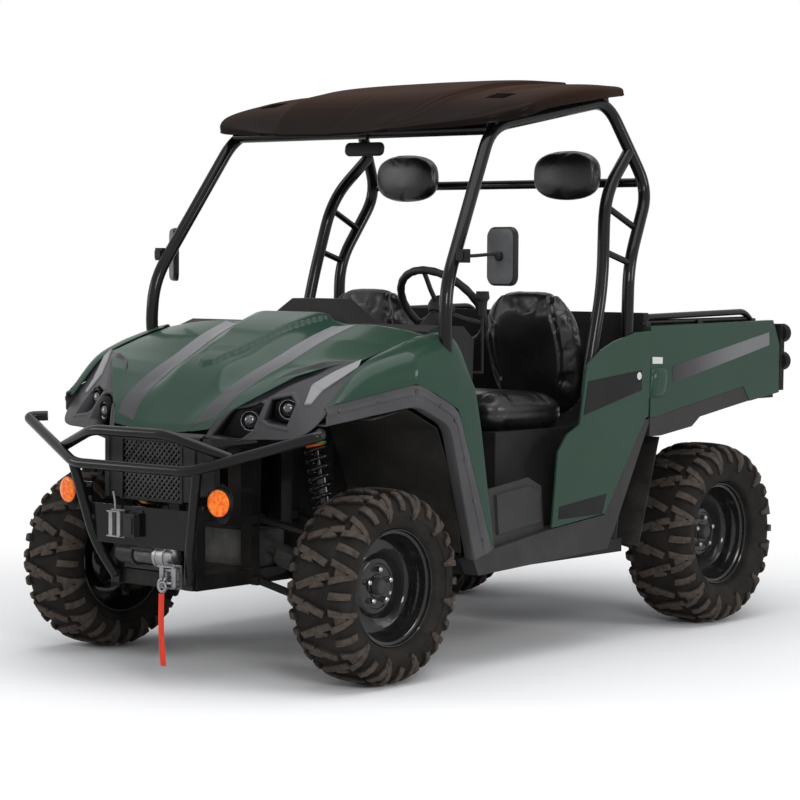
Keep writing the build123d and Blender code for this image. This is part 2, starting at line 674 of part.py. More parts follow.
def roll_cage():
    """The two side frames of bent tube with their braces, the cross tubes and the headrest brackets."""
    foot = side_rail_top
    foot_x = side_rail_x - 2.5
    front = [(foot_x, -478, foot), (672, -600, 900), (695, -668, 1100), (689, -657, 1303), (604, -312, 1846),
             (600, 378, 1969), (660, 561, 1649), (699, 389, 1373), (699, 379, 1010), (foot_x, 385, foot)]
    hoop = [(foot_x, 150, foot), (699, 145, 985), (699, 225, 1298), (656, 294, 1624), (632, 480, 1790)]
    side = joined(tube(front, cage_tube, 26), tube(hoop, cage_tube, 26))
    side += joined(rod((690, 250, 1420), (697, 400, 1378), brace_tube, 8),
                   rod((664, 290, 1585), (674, 480, 1500), brace_tube, 8))
    side += rod((seat_x, 545, 1684), (seat_x, 468 + fit_gap, 1684), 30, 8)
    # (y, z, half length, diameter) of the cross tubes
    cross = ((-312, 1840, 601, cage_tube), (372, 1962, 600, cage_tube), (545, 1676, 656, 34))
    bars = [rod((-half, y, z), (half, y, z), diameter) for y, z, half, diameter in cross]
    return joined(both_sides(side), *bars)


def roof():
    """A moulded roof with a raised middle and a visor, on four pads."""
    # y of the station, then (x, z) at the middle, the raised middle's edge, the wing, the rim's top and its foot
    stations = ((-505, ((0, 1832), (180, 1837), (240, 1842), (296, 1847), (302, 1838))),
                (-385, ((0, 1895), (300, 1902), (420, 1884), (656, 1880), (670, 1848))),
                (-300, ((0, 1948), (330, 1950), (440, 1924), (672, 1912), (692, 1868))),
                (-100, ((0, 2008), (350, 2004), (450, 1984), (680, 1968), (704, 1916))),
                (200, ((0, 2050), (360, 2042), (450, 2026), (668, 2012), (696, 1964))),
                (440, ((0, 2060), (360, 2050), (440, 2036), (610, 2024), (638, 1992))))
    pads = [block(588, 618, y - 15, y + 15, z - 72, z) for y, z in ((-290, 1916), (350, 2017))]
    return both_sides(joined(skin(stations, 6), *pads))


def mirrors():
    """Two door mirrors on their arms and the cab mirror under the roof."""
    glass = Pos(786, -480, 1400) * Rot(0, 0, -12) * Box(140, 22, 198)
    arm = rod((712, -590, 1400), (782, -482, 1400), 12, 8)
    clamp = block(682, 718, -612, -572, 1378, 1422)
    inner = block(-20, 150, -358, -345, 1752, 1806) + block(55, 75, -352, -318, 1790, 1830)
    return joined(both_sides(joined(glass, arm, clamp)), inner)


# ---- cargo bed -----------------------------------------------------------------------------------------
def bed_box():
    """The bed's steel tub, open at the back, on two beams with the pivot ears."""
    x = bed_half_width
    tub = block(-x, x, bed_front_y, bed_rear_y - 12, bed_floor_z, bed_top_z)
    tub -= block(-x + panel, x - panel, bed_front_y + panel, bed_rear_y, bed_floor_z + panel, bed_top_z + 1)
    tub += block(-x, x, bed_front_y, bed_front_y + 30, bed_top_z, 1196)
    beam = block(222, 262, bed_front_y, bed_hinge_y + 50, bed_beam_z, bed_floor_z)
    ear = block(222, 232, bed_hinge_y - 25, bed_hinge_y + 25, bed_hinge_z - 25, bed_beam_z + 10)
    axle = Pos(rail_x, bed_hinge_y, bed_hinge_z) * across(pin(0, 60, bed_pin_radius))
    post = block(gate_half_width + 6, x, bed_rear_y - 22, bed_rear_y - fit_gap, bed_floor_z, bed_top_z)
    post += block(gate_half_width + 6, x, bed_rear_y - 22, gate_hinge_y + 10, bed_floor_z, gate_hinge_z + 10)
    post -= Pos(0, gate_hinge_y, gate_hinge_z) * across(pin(0, x - 4, gate_pin_radius + fit_gap))
    return joined(tub, both_sides(joined(beam, ear, axle, post)))


def bed_side_panels():
    """Green outer panels of the bed."""
    end = bed_rear_y
    outline = [(bed_front_y, 1147), (end - 50, 1158), (end, 1060), (end, 872), (end - 217, 846), (end - 264, 905),
               (532, 812), (bed_front_y, 812)]
    return both_sides(pan(outline, bed_half_width + fit_gap, bed_side_x, panel))


def bed_arch_trims():
    """Black trims along the lower edge of the bed sides."""
    end = bed_rear_y - 265
    outline = [(532, 811.7), (end, 904.7), (end + 46, 847), (end - 57, 833), (end - 297, 800), (785, 766), (578, 742),
               (bed_front_y, 742), (bed_front_y, 811.7)]
    return both_sides(side_plate(outline, bed_half_width + fit_gap, bed_side_x - 2))


def bed_rails():
    """Tube rails along the top of the bed sides."""
    x = bed_half_width - 10
    end = bed_rear_y - 140
    rail = tube([(x, 512, 1190), (x, 532, 1207), (x, end - 57, 1212), (x, end, bed_top_z - 4)], 22, 12, 12)
    return both_sides(rail)


def tailgate():
    """The tailgate, a shallow steel pan hinged at the bed floor."""
    x = gate_half_width
    gate = block(-x, x, bed_rear_y - 6, bed_rear_y + 18, bed_floor_z + 8, bed_top_z - 4)
    gate -= block(-x + 60, x - 60, bed_rear_y + 10, bed_rear_y + 19, bed_floor_z + 60, bed_top_z - 60)
    return joined(gate, both_sides(Pos(x - 5, gate_hinge_y, gate_hinge_z) * across(pin(0, 20, gate_pin_radius))))


def tail_lamps():
    """Round tail lamps, two on each side, on the bed's rear corner caps."""
    cap = block(bed_half_width + 2, bed_side_x, bed_rear_y + fit_gap, bed_rear_y + 30, 880, 1140)
    lamps = [Pos(bed_half_width + 16, bed_rear_y + 60, z) * Rot(90, 0, 0) * turned(((0, 32), (6, 38), (40, 38)), 12)
             for z in (1105, 995)]
    return both_sides(joined(cap, *lamps))


# ---- output ------------------------------------------------------------------------------------------
left_knuckle = knuckle()
frame = chassis_frame()
cage = roll_cage() - frame
flares = fender_flares()
fenders = front_fenders() - flares - cage
bumper = bull_bar() - frame
arms = suspension_arms()
dash = dashboard()
sides = bed_side_panels()
bed = bed_box()
parts = {
    "chassis_frame": frame,
    "floor_pan": floor_pan(),
    "seat_base": seat_base(),
    "rocker_panels": rocker_panels() - cage,
    "front_fenders": fenders,
    "fender_flares": flares,
    "wheel_liners": wheel_liners(),
    "hood": hood(),
    "front_fascia": front_fascia() - fenders - flares,
    "headlamps": headlamps(),
    "grille_mesh": grille_mesh(),
    "indicators": indicators(),
    "bull_bar": bumper,
    "winch": winch(),
    "fairlead": fairlead() - bumper,
    "winch_strap": winch_strap(),
    "suspension_arms": arms,
    "shocks": shocks() - frame - arms,
    "knuckle_left": left_knuckle,
    "knuckle_right": mirror(left_knuckle, about=Plane.YZ),
    "steering_rack": steering_rack(),
    "rack_housing": rack_housing(),
    "steering_wheel": steering_wheel(),
    "column_and_lever": column_and_lever() - dash,
    "half_shafts": half_shafts(),
    "engine_block": engine_block(),
    "dashboard": dash,
    "seat_cushions": seat_cushions(),
    "seat_backs": seat_backs(),
    "headrests": headrests(),
    "quarter_panels": quarter_panels(),
    "roll_cage": cage,
    "roof": roof() - cage,
    "mirrors": mirrors() - cage,
    "bed_box": bed,
    "bed_side_panels": sides,
    "bed_arch_trims": bed_arch_trims(),
    "bed_rails": bed_rails() - sides - bed,
    "tailgate": tailgate(),
    "tail_lamps": tail_lamps(),
}
# name of the axle, its y, half track, wheel radius, tyre width
axles = (("front", front_axle_y, front_half_track, front_wheel_radius, front_tyre_width),
         ("rear", rear_axle_y, rear_half_track, rear_wheel_radius, rear_tyre_width))
for axle, y, half_track, radius, width in axles:
    for hand, side in (("left", 1), ("right", -1)):
        centre = (side * half_track, y, radius)
        parts[f"tyre_{axle}_{hand}"] = tyre(radius, width, centre)
        parts[f"rim_{axle}_{hand}"] = rim(centre, side)

os.makedirs("parts", exist_ok=True)
for name, part in parts.items():
    export_step(part, f"parts/{name}.step")
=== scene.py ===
"""Looks of the side by side utility vehicle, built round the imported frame."""
from math import cos, pi, radians, sin

import bmesh
import bpy
import numpy as np
from mathutils import Euler, Matrix, Vector


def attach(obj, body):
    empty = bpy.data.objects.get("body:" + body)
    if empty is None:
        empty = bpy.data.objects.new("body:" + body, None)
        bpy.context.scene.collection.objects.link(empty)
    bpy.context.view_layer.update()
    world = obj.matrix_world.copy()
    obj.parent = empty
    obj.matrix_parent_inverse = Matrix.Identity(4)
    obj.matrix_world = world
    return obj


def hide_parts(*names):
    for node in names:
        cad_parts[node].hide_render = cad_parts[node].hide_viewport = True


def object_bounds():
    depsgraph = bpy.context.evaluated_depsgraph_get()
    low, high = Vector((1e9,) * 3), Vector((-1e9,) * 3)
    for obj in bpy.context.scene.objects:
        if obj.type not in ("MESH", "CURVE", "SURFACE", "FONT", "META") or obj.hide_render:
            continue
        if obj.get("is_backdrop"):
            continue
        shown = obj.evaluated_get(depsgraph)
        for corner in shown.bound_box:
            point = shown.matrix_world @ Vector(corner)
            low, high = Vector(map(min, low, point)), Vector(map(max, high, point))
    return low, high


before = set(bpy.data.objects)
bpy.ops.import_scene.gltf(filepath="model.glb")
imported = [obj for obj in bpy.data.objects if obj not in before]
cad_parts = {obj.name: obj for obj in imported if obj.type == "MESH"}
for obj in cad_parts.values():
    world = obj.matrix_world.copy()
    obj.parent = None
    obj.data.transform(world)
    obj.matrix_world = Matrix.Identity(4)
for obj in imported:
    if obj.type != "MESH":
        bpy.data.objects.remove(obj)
cad_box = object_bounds()

# ---- camera, light and floor ---------------------------------------------------------------------
# A long lens from the front left at bonnet height, four soft lamps and an even pale room.
# The floor is a white card that keeps the shadow; mirrors and gloss see the same pale room.
camera_azimuth, camera_pitch, camera_roll = 39.903, 3.267, 0.364
camera = bpy.data.objects.new("camera", bpy.data.cameras.new("camera"))
camera.data.lens = 112.53
camera.data.sensor_width = 36
camera.data.clip_end = 60
aim = (Euler((0, 0, radians(camera_azimuth))).to_matrix() @ Euler((radians(90 - camera_pitch), 0, 0)).to_matrix()
       @ Euler((0, 0, radians(camera_roll))).to_matrix())
camera.matrix_world = Matrix.Translation((5.908, -7.133, 1.395)) @ aim.to_4x4()
bpy.context.scene.collection.objects.link(camera)
bpy.context.scene.camera = camera
bpy.context.scene.view_settings.view_transform = "Standard"


def lamp(name, place, target, size, power):
    """An area lamp at place that faces target."""
    light = bpy.data.lights.new(name, "AREA")
    light.shape = "RECTANGLE"
    light.size, light.size_y = size
    light.energy = power
    holder = bpy.data.objects.new(name, light)
    holder.location = place
    holder.rotation_euler = (Vector(target) - Vector(place)).to_track_quat("-Z", "Y").to_euler()
    bpy.context.scene.collection.objects.link(holder)


for name, place, target, size, power in (
        ("overhead", (0.5, -0.5, 5.2), (0, 0, 0), (5, 5), 200),
        ("front_left", (5.5, -5.0, 3.4), (0, -0.3, 0.8), (2.0, 1.3), 135),
        ("front_right", (-5.0, -4.5, 2.6), (0, -0.3, 0.8), (2.5, 2), 70),
        ("side_left", (6.5, 2.0, 2.5), (0, 0.3, 0.8), (2.0, 1.2), 90)):
    lamp(name, place, target, size, power)


def link(tree, source, target):
    """Join an output to an input, or set the input where source is a plain number or colour."""
    if isinstance(source, bpy.types.NodeSocket):
        tree.links.new(source, target)
    else:
        target.default_value = source


def node_with(tree, kind, values=()):
    """A new shader node whose inputs take the values: sockets, numbers or colours by their labels."""
    node = tree.nodes.new("ShaderNode" + kind)
    for label, value in dict(values).items():
        link(tree, value, node.inputs[label])
    return node


def calc(tree, operation, *values, clamp=False):
    """A Math node on sockets or numbers."""
    node = node_with(tree, "Math")
    node.operation = operation
    node.use_clamp = clamp
    for value, target in zip(values, node.inputs):
        link(tree, value, target)
    return node.outputs[0]


def between(tree, value, low, high):
    """A smooth step of a value: 0 at low, 1 at high."""
    node = node_with(tree, "MapRange", {"Value": value, "From Min": low, "From Max": high})
    node.interpolation_type = "SMOOTHSTEP"
    return node.outputs[0]


def places(tree):
    """Object coordinates of the piece, in metres of the vehicle's frame."""
    return node_with(tree, "TexCoord").outputs["Object"]


def in_view(tree):
    """1 where the camera, gloss or glass sees the surface, and 0 for the light that it throws back."""
    path = node_with(tree, "LightPath").outputs
    seen = path["Is Camera Ray"]
    for other in ("Is Glossy Ray", "Is Transmission Ray"):
        seen = calc(tree, "MAXIMUM", seen, path[other])
    return seen


def either(tree, mask, first, second, target):
    """The target takes the first shader node, or the second where the mask is 1."""
    mix = node_with(tree, "MixShader", {0: mask, 1: first.outputs[0], 2: second.outputs[0]})
    tree.links.new(mix.outputs[0], target)


world = bpy.data.worlds.new("room")
bpy.context.scene.world = world
world.use_nodes = True
tree = world.node_tree
plain = tree.nodes["Background"]
plain.inputs["Color"].default_value = (0.93, 0.95, 1, 1)
plain.inputs["Strength"].default_value = 0.42
white = node_with(tree, "Background", {"Color": (1, 1, 1, 1), "Strength": 1})
either(tree, in_view(tree), plain, white, tree.nodes["World Output"].inputs["Surface"])

card_reach = 30
card = bpy.data.meshes.new("floor_card")
card.from_pydata([(x * card_reach, y * card_reach, 0) for x, y in ((-1, -1), (1, -1), (1, 1), (-1, 1))], [],
                 [(0, 1, 2, 3)])
floor = bpy.data.objects.new("floor_card", card)
bpy.context.scene.collection.objects.link(floor)
floor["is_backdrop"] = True
paper = bpy.data.materials.new("white_card")
paper.use_nodes = True
tree = paper.node_tree
paper_shader = tree.nodes["Principled BSDF"]
paper_shader.inputs["Base Color"].default_value = (0.93, 0.93, 0.93, 1)
paper_shader.inputs["Roughness"].default_value = 0.7
paper_shader.inputs["Specular IOR Level"].default_value = 0.1
# the card goes to plain white away from the vehicle, where the camera, gloss or glass sees it
middle = node_with(tree, "VectorMath", {0: places(tree)})
middle.operation = "LENGTH"
far = between(tree, middle.outputs["Value"], 1.5, 3.4)
glow = node_with(tree, "Emission", {"Strength": 1})
either(tree, calc(tree, "MULTIPLY", in_view(tree), far), paper_shader, glow,
       tree.nodes["Material Output"].inputs["Surface"])
card.materials.append(paper)


# ---- tyres -----------------------------------------------------------------------------------------
# Four moulded rubber tyres: a round carcass with forked shoulder lugs, single lugs between them and
# slanted bars down the middle. The lug tips are scuffed pale brown, the grooves stay dark.
def woven(points, wrap_u=False, wrap_v=False):
    """Quads between the neighbours of a grid of points: each joins (u, v), (u+1, v), (u+1, v+1), (u, v+1)."""
    n, m = points.shape[:2]
    i = np.arange(n if wrap_u else n - 1)[:, None]
    j = np.arange(m if wrap_v else m - 1)[None, :]
    k, l = (i + 1) % n, (j + 1) % m
    quads = np.stack([i * m + j, k * m + j, k * m + l, i * m + l], -1).reshape(-1, 4)
    return points.reshape(-1, 3), quads.tolist()


def gathered(shells):
    """Several (points, faces) made one, by adding to each shell's corner numbers the points before it."""
    points, faces, start = [], [], 0
    for some, corners in shells:
        points.append(some)
        faces += [[c + start for c in face] for face in corners]
        start += len(some)
    return np.concatenate(points), faces


def flow(knots, count):
    """Points along a smooth line through knots: a cubic in each span whose slopes join neighbouring knots."""
    knots = np.asarray(knots, float)
    slopes = np.gradient(knots, axis=0)
    t = np.linspace(0, len(knots) - 1, count)
    i = np.minimum(t.astype(int), len(knots) - 2)
    f = (t - i)[:, None]
    a, b = knots[i], knots[i + 1]
    return ((2 * f ** 3 - 3 * f ** 2 + 1) * a + (f ** 3 - 2 * f ** 2 + f) * slopes[i]
            + (3 * f ** 2 - 2 * f ** 3) * b + (f ** 3 - f ** 2) * slopes[i + 1])


def full_turn(count):
    """Angles at equal steps round a full turn."""
    return np.linspace(0, 2 * pi, count, endpoint=False)


def turned(section, sides):
    """A section of (x, radius) swung round the X axis: (x, r cos a, r sin a) for a full turn."""
    section = np.asarray(section, float)
    a = full_turn(sides)
    x = np.repeat(section[:, :1], sides, 1)
    return np.stack([x, section[:, 1:] * np.cos(a), section[:, 1:] * np.sin(a)], -1)


def spun(section, sides=48, ring=False):
    """The turned section as a shell; a ring's section is a closed line."""
    return woven(turned(section, sides), wrap_u=ring, wrap_v=True)


def add_piece(name, shell, body, finish, replaced=(), crease=35):
    """A mesh of (points, faces) that rides on a body, smooth apart from edges sharper than crease degrees."""
    points, faces = shell
    mesh = bpy.data.meshes.new(name)
    mesh.from_pydata(np.asarray(points).tolist(), [], faces)
    shape = bmesh.new()
    shape.from_mesh(mesh)
    bmesh.ops.recalc_face_normals(shape, faces=shape.faces)
    shape.to_mesh(mesh)
    shape.free()
    mesh.polygons.foreach_set("use_smooth", [True] * len(mesh.polygons))
    mesh.set_sharp_from_angle(angle=radians(crease))
    mesh.materials.append(finish)
    piece = bpy.data.objects.new(name, mesh)
    bpy.context.scene.collection.objects.link(piece)
    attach(piece, body)
    if replaced:
        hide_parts(*replaced)
    return piece


def marked(piece, name, values):
    """A number for each point of the piece, which its material reads by name."""
    mark = piece.data.attributes.new(name, "FLOAT", "POINT")
    mark.data.foreach_set("value", np.asarray(values, np.float32).ravel())


def mark_of(tree, name):
    """The number that the piece's points hold by that name."""
    node = node_with(tree, "Attribute")
    node.attribute_name = name
    return node.outputs["Fac"]


def blended(tree, mask, first, second):
    """A colour that goes from first to second with the mask."""
    node = node_with(tree, "Mix")
    node.data_type = "RGBA"
    link(tree, mask, node.inputs["Factor"])
    link(tree, first, node.inputs[6])
    link(tree, second, node.inputs[7])
    return node.outputs[2]


def noise(tree, coordinates, scale, detail):
    """A noise value of scale cells a metre, with that many finer layers."""
    return node_with(tree, "TexNoise", {"Scale": scale, "Detail": detail, "Roughness": 0.55,
                                        "Vector": coordinates}).outputs["Fac"]


def going(tree, axis, low, high):
    """A smooth step from low to high metres along an axis: 0 across, 1 lengthwise, 2 up."""
    return between(tree, node_with(tree, "SeparateXYZ", {0: places(tree)}).outputs[axis], low, high)


def new_group(name, inputs, outputs):
    """An empty shader node group with named sockets: (label, kind, value) in and (label, kind) out."""
    group = bpy.data.node_groups.new(name, "ShaderNodeTree")
    for label, kind, value in inputs:
        socket = group.interface.new_socket(name=label, in_out="INPUT", socket_type="NodeSocket" + kind)
        if value is not None:
            socket.default_value = value
    for label, kind in outputs:
        group.interface.new_socket(name=label, in_out="OUTPUT", socket_type="NodeSocket" + kind)
    return group, group.nodes.new("NodeGroupInput").outputs, group.nodes.new("NodeGroupOutput").inputs


def placed(tree, group, **values):
    """One use of a node group with its own values; returns its outputs."""
    node = tree.nodes.new("ShaderNodeGroup")
    node.node_tree = group
    for label, value in values.items():
        link(tree, value, node.inputs[label])
    return node.outputs


# dust: noise in patches, more of it low down, laid over a colour and a roughness
dust, given, made = new_group("dust", (("Colour", "Color", None), ("Dust", "Color", None), ("Amount", "Float", 0.2),
                                       ("Top", "Float", 0.6)), (("Colour", "Color"), ("Mask", "Float")))
where = places(dust)
patch = between(dust, noise(dust, where, 9, 5), 0.38, 0.68)
fine = between(dust, noise(dust, where, 160, 2), 0.3, 0.7)
cover = calc(dust, "MULTIPLY", calc(dust, "MULTIPLY_ADD", patch, 0.6, calc(dust, "MULTIPLY", fine, 0.25)),
             calc(dust, "MULTIPLY_ADD", going(dust, 2, given["Top"], 0.0), 0.8, 0.2))
mask = calc(dust, "MULTIPLY", cover, given["Amount"], clamp=True)
link(dust, blended(dust, mask, given["Colour"], given["Dust"]), made["Colour"])
link(dust, mask, made["Mask"])

# grain: the pebbled skin of moulded plastic, rubber or cast metal, as a height
grain, given, made = new_group("grain", (("Size", "Float", 900.0), ("Depth", "Float", 1.0)),
                               (("Height", "Float"),))
cell = node_with(grain, "TexVoronoi", {"Scale": given["Size"], "Vector": places(grain)})
cell.feature = "SMOOTH_F1"
wide = noise(grain, places(grain), 35, 3)
link(grain, calc(grain, "MULTIPLY", calc(grain, "MULTIPLY_ADD", wide, 0.4, cell.outputs["Distance"]),
                 given["Depth"]), made["Height"])

# scuffs: fine crossing scratches and rubbed patches, as a mask
scuffs, given, made = new_group("scuffs", (("Amount", "Float", 0.5),), (("Mask", "Float"),))
stretched = node_with(scuffs, "Mapping", {"Scale": (14, 90, 260), "Rotation": (0.5, 0.3, 0.8),
                                          "Vector": places(scuffs)}).outputs[0]
line = between(scuffs, noise(scuffs, stretched, 1, 4), 0.62, 0.72)
rub = between(scuffs, noise(scuffs, places(scuffs), 5, 4), 0.5, 0.75)
link(scuffs, calc(scuffs, "MULTIPLY", calc(scuffs, "MULTIPLY", line, rub), given["Amount"], clamp=True),
     made["Mask"])


def finish_of(name, colour, second, patchiness, roughness, spread, depth, size, metal=0.0, coat=0.0,
              dusty=0.15, dust_colour=(0.3, 0.26, 0.21, 1), dust_top=0.9, scuffed=0.0, specular=0.05,
              coat_roughness=0.08):
    """A moulded, painted or cast finish.

    The colour drifts to a second one in soft patches, dust lies on it up to the height dust_top, the roughness
    follows both, and a grain of size cells a metre feeds a Bump of depth metres.
    """
    material = bpy.data.materials.new(name)
    material.use_nodes = True
    tree = material.node_tree
    shader = tree.nodes["Principled BSDF"]
    where = places(tree)
    drift = between(tree, noise(tree, where, patchiness, 4), 0.3, 0.7)
    rubbed = placed(tree, scuffs, Amount=scuffed)["Mask"]
    painted = blended(tree, rubbed, blended(tree, drift, (*colour, 1), (*second, 1)), dust_colour)
    laid = placed(tree, dust, Colour=painted, Dust=dust_colour, Amount=dusty, Top=dust_top)
    link(tree, laid["Colour"], shader.inputs["Base Color"])
    rough = calc(tree, "MULTIPLY_ADD", drift, spread, roughness)
    rough = calc(tree, "ADD", rough, calc(tree, "MULTIPLY", laid["Mask"], 0.4), clamp=True)
    link(tree, calc(tree, "ADD", rough, calc(tree, "MULTIPLY", rubbed, 0.2), clamp=True),
         shader.inputs["Roughness"])
    bump = node_with(tree, "Bump", {"Distance": depth, "Strength": 0.6,
                                    "Height": placed(tree, grain, Size=size, Depth=1.0)["Height"]})
    link(tree, bump.outputs[0], shader.inputs["Normal"])
    for label, value in (("Metallic", metal), ("Coat Weight", coat), ("Coat Roughness", coat_roughness),
                         ("Specular IOR Level", specular)):
        shader.inputs[label].default_value = value
    return material


def overlaid(material, *layers):
    """Colours laid over the material's own, each by a mask that a function makes in its tree."""
    tree = material.node_tree
    target = tree.nodes["Principled BSDF"].inputs["Base Color"]
    under = target.links[0].from_socket
    for mask, colour in layers:
        under = blended(tree, mask(tree), under, (*colour, 1))
    link(tree, under, target)


def scuffed_tips(tree):
    """Where the rubber is rubbed brown: the mark lug_tip, 1 on top of a lug, broken up by noise."""
    spot = between(tree, noise(tree, places(tree), 45, 5), 0.3, 0.62)
    return calc(tree, "MULTIPLY", between(tree, mark_of(tree, "lug_tip"), 0.55, 1.0),
                calc(tree, "MULTIPLY_ADD", spot, 0.5, 0.4), clamp=True)


def tyre_rubber(name):
    """Dark rubber whose lug tips are scuffed brown."""
    material = finish_of(name, (0.012, 0.0118, 0.0115), (0.020, 0.0185, 0.017), 14, 0.62, 0.2, 0.0006, 700,
                         dusty=0.28, dust_colour=(0.075, 0.062, 0.052, 1), dust_top=1.4)
    overlaid(material, (scuffed_tips, (0.082, 0.066, 0.055)))
    return material


def tyre_shell(radius, half, centre):
    """A tyre's carcass and its lugs.

    The carcass is a line of (x, r) turned round X. A lug is a four cornered patch in (round, along the line),
    raised from the carcass by its height: its rim stands on the carcass, its edge is eased and its top is flat.
    """
    bead, lug, across_steps, round_steps = 0.1953, 0.018, 70, 144
    ground = radius - lug
    side = flow([(0, ground), (0.3 * half, ground - 0.0005), (0.62 * half, ground - 0.005),
                 (0.86 * half, ground - 0.019), (0.97 * half, ground - 0.042), (half, radius - 0.085),
                 (0.96 * half, 0.5 * (radius + bead) - 0.026), (0.86 * half, bead + 0.012), (0.092, bead + 0.004),
                 (0.088, bead)], across_steps)
    line = np.concatenate([side[:0:-1] * (-1, 1), side])
    carcass = spun(line, round_steps, ring=True)
    step = np.linalg.norm(np.diff(side, axis=0), axis=1)
    run = np.concatenate([[0], np.cumsum(step)])
    slope = np.gradient(side, axis=0)
    out = np.stack([-slope[:, 1], slope[:, 0]], -1)
    out /= np.linalg.norm(out, axis=1)[:, None]
    shoulder = run[np.argmax(side[:, 0] > 0.9 * half)]
    units = 12
    turn = 2 * pi / units
    # corners as (share of a unit, share of the way to the shoulder), then the height in metres
    fork_a = ((0.24, 0.62), (0.38, 0.62), (0.56, 1.34), (0.46, 1.46))
    fork_b = ((0.62, 0.62), (0.76, 0.62), (0.54, 1.46), (0.44, 1.34))
    notch = ((0.36, 0.74), (0.64, 0.74), (0.56, 1.02), (0.44, 1.02))
    single = ((0.90, 0.66), (1.05, 0.62), (1.08, 1.18), (0.93, 1.22))
    bar = ((0.12, -0.10), (0.25, -0.20), (0.42, 0.42), (0.29, 0.50))
    bar_end = ((0.02, -0.58), (0.15, -0.66), (0.23, -0.27), (0.10, -0.17))
    arrow = ((0.62, 0.10), (0.86, 0.02), (0.80, 0.46), (0.74, 0.48))
    rib_a = ((0.30, 1.62), (0.34, 1.62), (0.52, 1.98), (0.48, 1.98))
    rib_b = ((0.66, 1.62), (0.70, 1.62), (0.52, 1.98), (0.48, 1.98))
    rows = ((fork_a, 1), (fork_b, 1), (notch, 0.6), (single, 1), (bar, 1), (bar_end, 1), (arrow, 1),
            (rib_a, 0.16), (rib_b, 0.16))
    # a lug's own grid: its rim lies a little outside its corners and below the carcass
    ease = np.array([-0.07, 0.0, 0.05, 0.35, 0.65, 0.95, 1.0, 1.07])
    level = np.array([-0.25, 0.9, 1, 1, 1, 1, 0.9, -0.25])
    shells = [carcass]
    tips = [np.zeros(len(carcass[0]))]
    p, q = np.meshgrid(ease, ease, indexing="ij")
    lift = np.minimum.outer(level, level)
    for hand in (1, -1):
        for corners, share in rows:
            a, b, c, d = np.array(corners, float)
            patch = ((1 - p)[..., None] * (1 - q)[..., None] * a + p[..., None] * (1 - q)[..., None] * b
                     + p[..., None] * q[..., None] * c + (1 - p)[..., None] * q[..., None] * d)
            shift = 0.5 if hand < 0 else 0  # the far half's lugs stand half a unit on
            for unit in range(units):
                angle = (patch[..., 0] + shift + unit) * turn
                along = patch[..., 1] * shoulder
                reach = np.abs(along)
                x = np.interp(reach, run, side[:, 0]) * np.sign(along)
                r = np.interp(reach, run, side[:, 1])
                nx = np.interp(reach, run, out[:, 0]) * np.sign(along)
                nr = np.interp(reach, run, out[:, 1])
                tall = share * lift * np.interp(reach / shoulder, (0, 0.8, 1.5, 2), (lug, 0.017, 0.008, 0.006))
                x = (x + nx * tall) * hand
                r = np.minimum(r + nr * tall, radius)
                shells.append(woven(np.stack([x, r * np.cos(angle), r * np.sin(angle)], -1)))
                tips.append((lift * (share > 0.5)).clip(0).ravel())
    points, faces = gathered(shells)
    return (points + centre, faces), np.concatenate(tips)


# each wheel's name, side, and its tyre's centre, radius and half width
axles = (("front", -0.95, 0.63, 0.322, 0.1175), ("rear", 0.99, 0.625, 0.345, 0.135))
wheels = [(f"{axle}_{hand}", side, np.array((side * x, y, radius)), radius, half)
          for axle, y, x, radius, half in axles for hand, side in (("left", 1), ("right", -1))]
for name, side, centre, radius, half in wheels:
    shell, tips = tyre_shell(radius, half, centre)
    name = "tyre_" + name
    piece = add_piece("knobbly_" + name, shell, name.replace("tyre", "wheel"),
                      tyre_rubber(name + "_rubber"), (name,), 50)
    marked(piece, "lug_tip", tips)


# ---- rims ------------------------------------------------------------------------------------------
# Pressed and welded steel rims with a deep dish, gloss black, five chromed nuts and a plastic hub cap.
# The hub, stub axle and brake disc turn with them.
def mirrored(shell):
    """The shell on the vehicle's other side: x changes sign and each face turns round."""
    points, faces = shell
    return points * (-1, 1, 1), [face[::-1] for face in faces]


gloss_black = finish_of("gloss_black", (0.006, 0.006, 0.007), (0.010, 0.009, 0.009), 3, 0.16, 0.1, 0.00015, 500,
                        coat=0.6, dusty=0.05, dust_top=0.6, scuffed=0.05, coat_roughness=0.06)
nut_chrome = finish_of("nut_chrome", (0.42, 0.42, 0.43), (0.3, 0.3, 0.31), 60, 0.18, 0.2, 0.0001, 2000, metal=1,
                       dusty=0.1)
# sections as (along the axle, radius): the dish with its flange, the hub and disc, the cap and a nut
dish = [(-0.089, 0.1948), (0.084, 0.1948), (0.0885, 0.194), (0.0905, 0.1915), (0.089, 0.1885), (0.0845, 0.1868),
        (0.079, 0.1858), (0.0765, 0.1825), (0.0745, 0.1775), (0.07, 0.1755), (0.052, 0.1735), (0.048, 0.17),
        (0.03, 0.166), (0.012, 0.161), (0.0035, 0.153), (0.001, 0.14), (0.0005, 0.108), (0.005, 0.1),
        (0.014, 0.093), (0.016, 0.0885), (0.016, 0.076), (0.012, 0.0725), (0.012, 0.04), (0.016, 0.037),
        (0.016, 0.029), (0.009, 0.029), (0.006, 0.09), (-0.006, 0.11), (-0.006, 0.15), (0, 0.162),
        (-0.01, 0.17), (-0.08, 0.185), (-0.089, 0.19)]
hub = [(-0.072, 0.0), (-0.072, 0.020), (-0.044, 0.020), (-0.043, 0.112), (-0.037, 0.112), (-0.036, 0.048),
       (0.006, 0.048), (0.006, 0.0)]
cap = [(0.008, 0.0), (0.008, 0.0285), (0.030, 0.0275), (0.037, 0.0235), (0.041, 0.0150), (0.042, 0.0)]
nut = [(0.010, 0), (0.010, 0.012), (0.013, 0.012), (0.016, 0.010), (0.031, 0.0095), (0.034, 0.0065), (0.035, 0)]


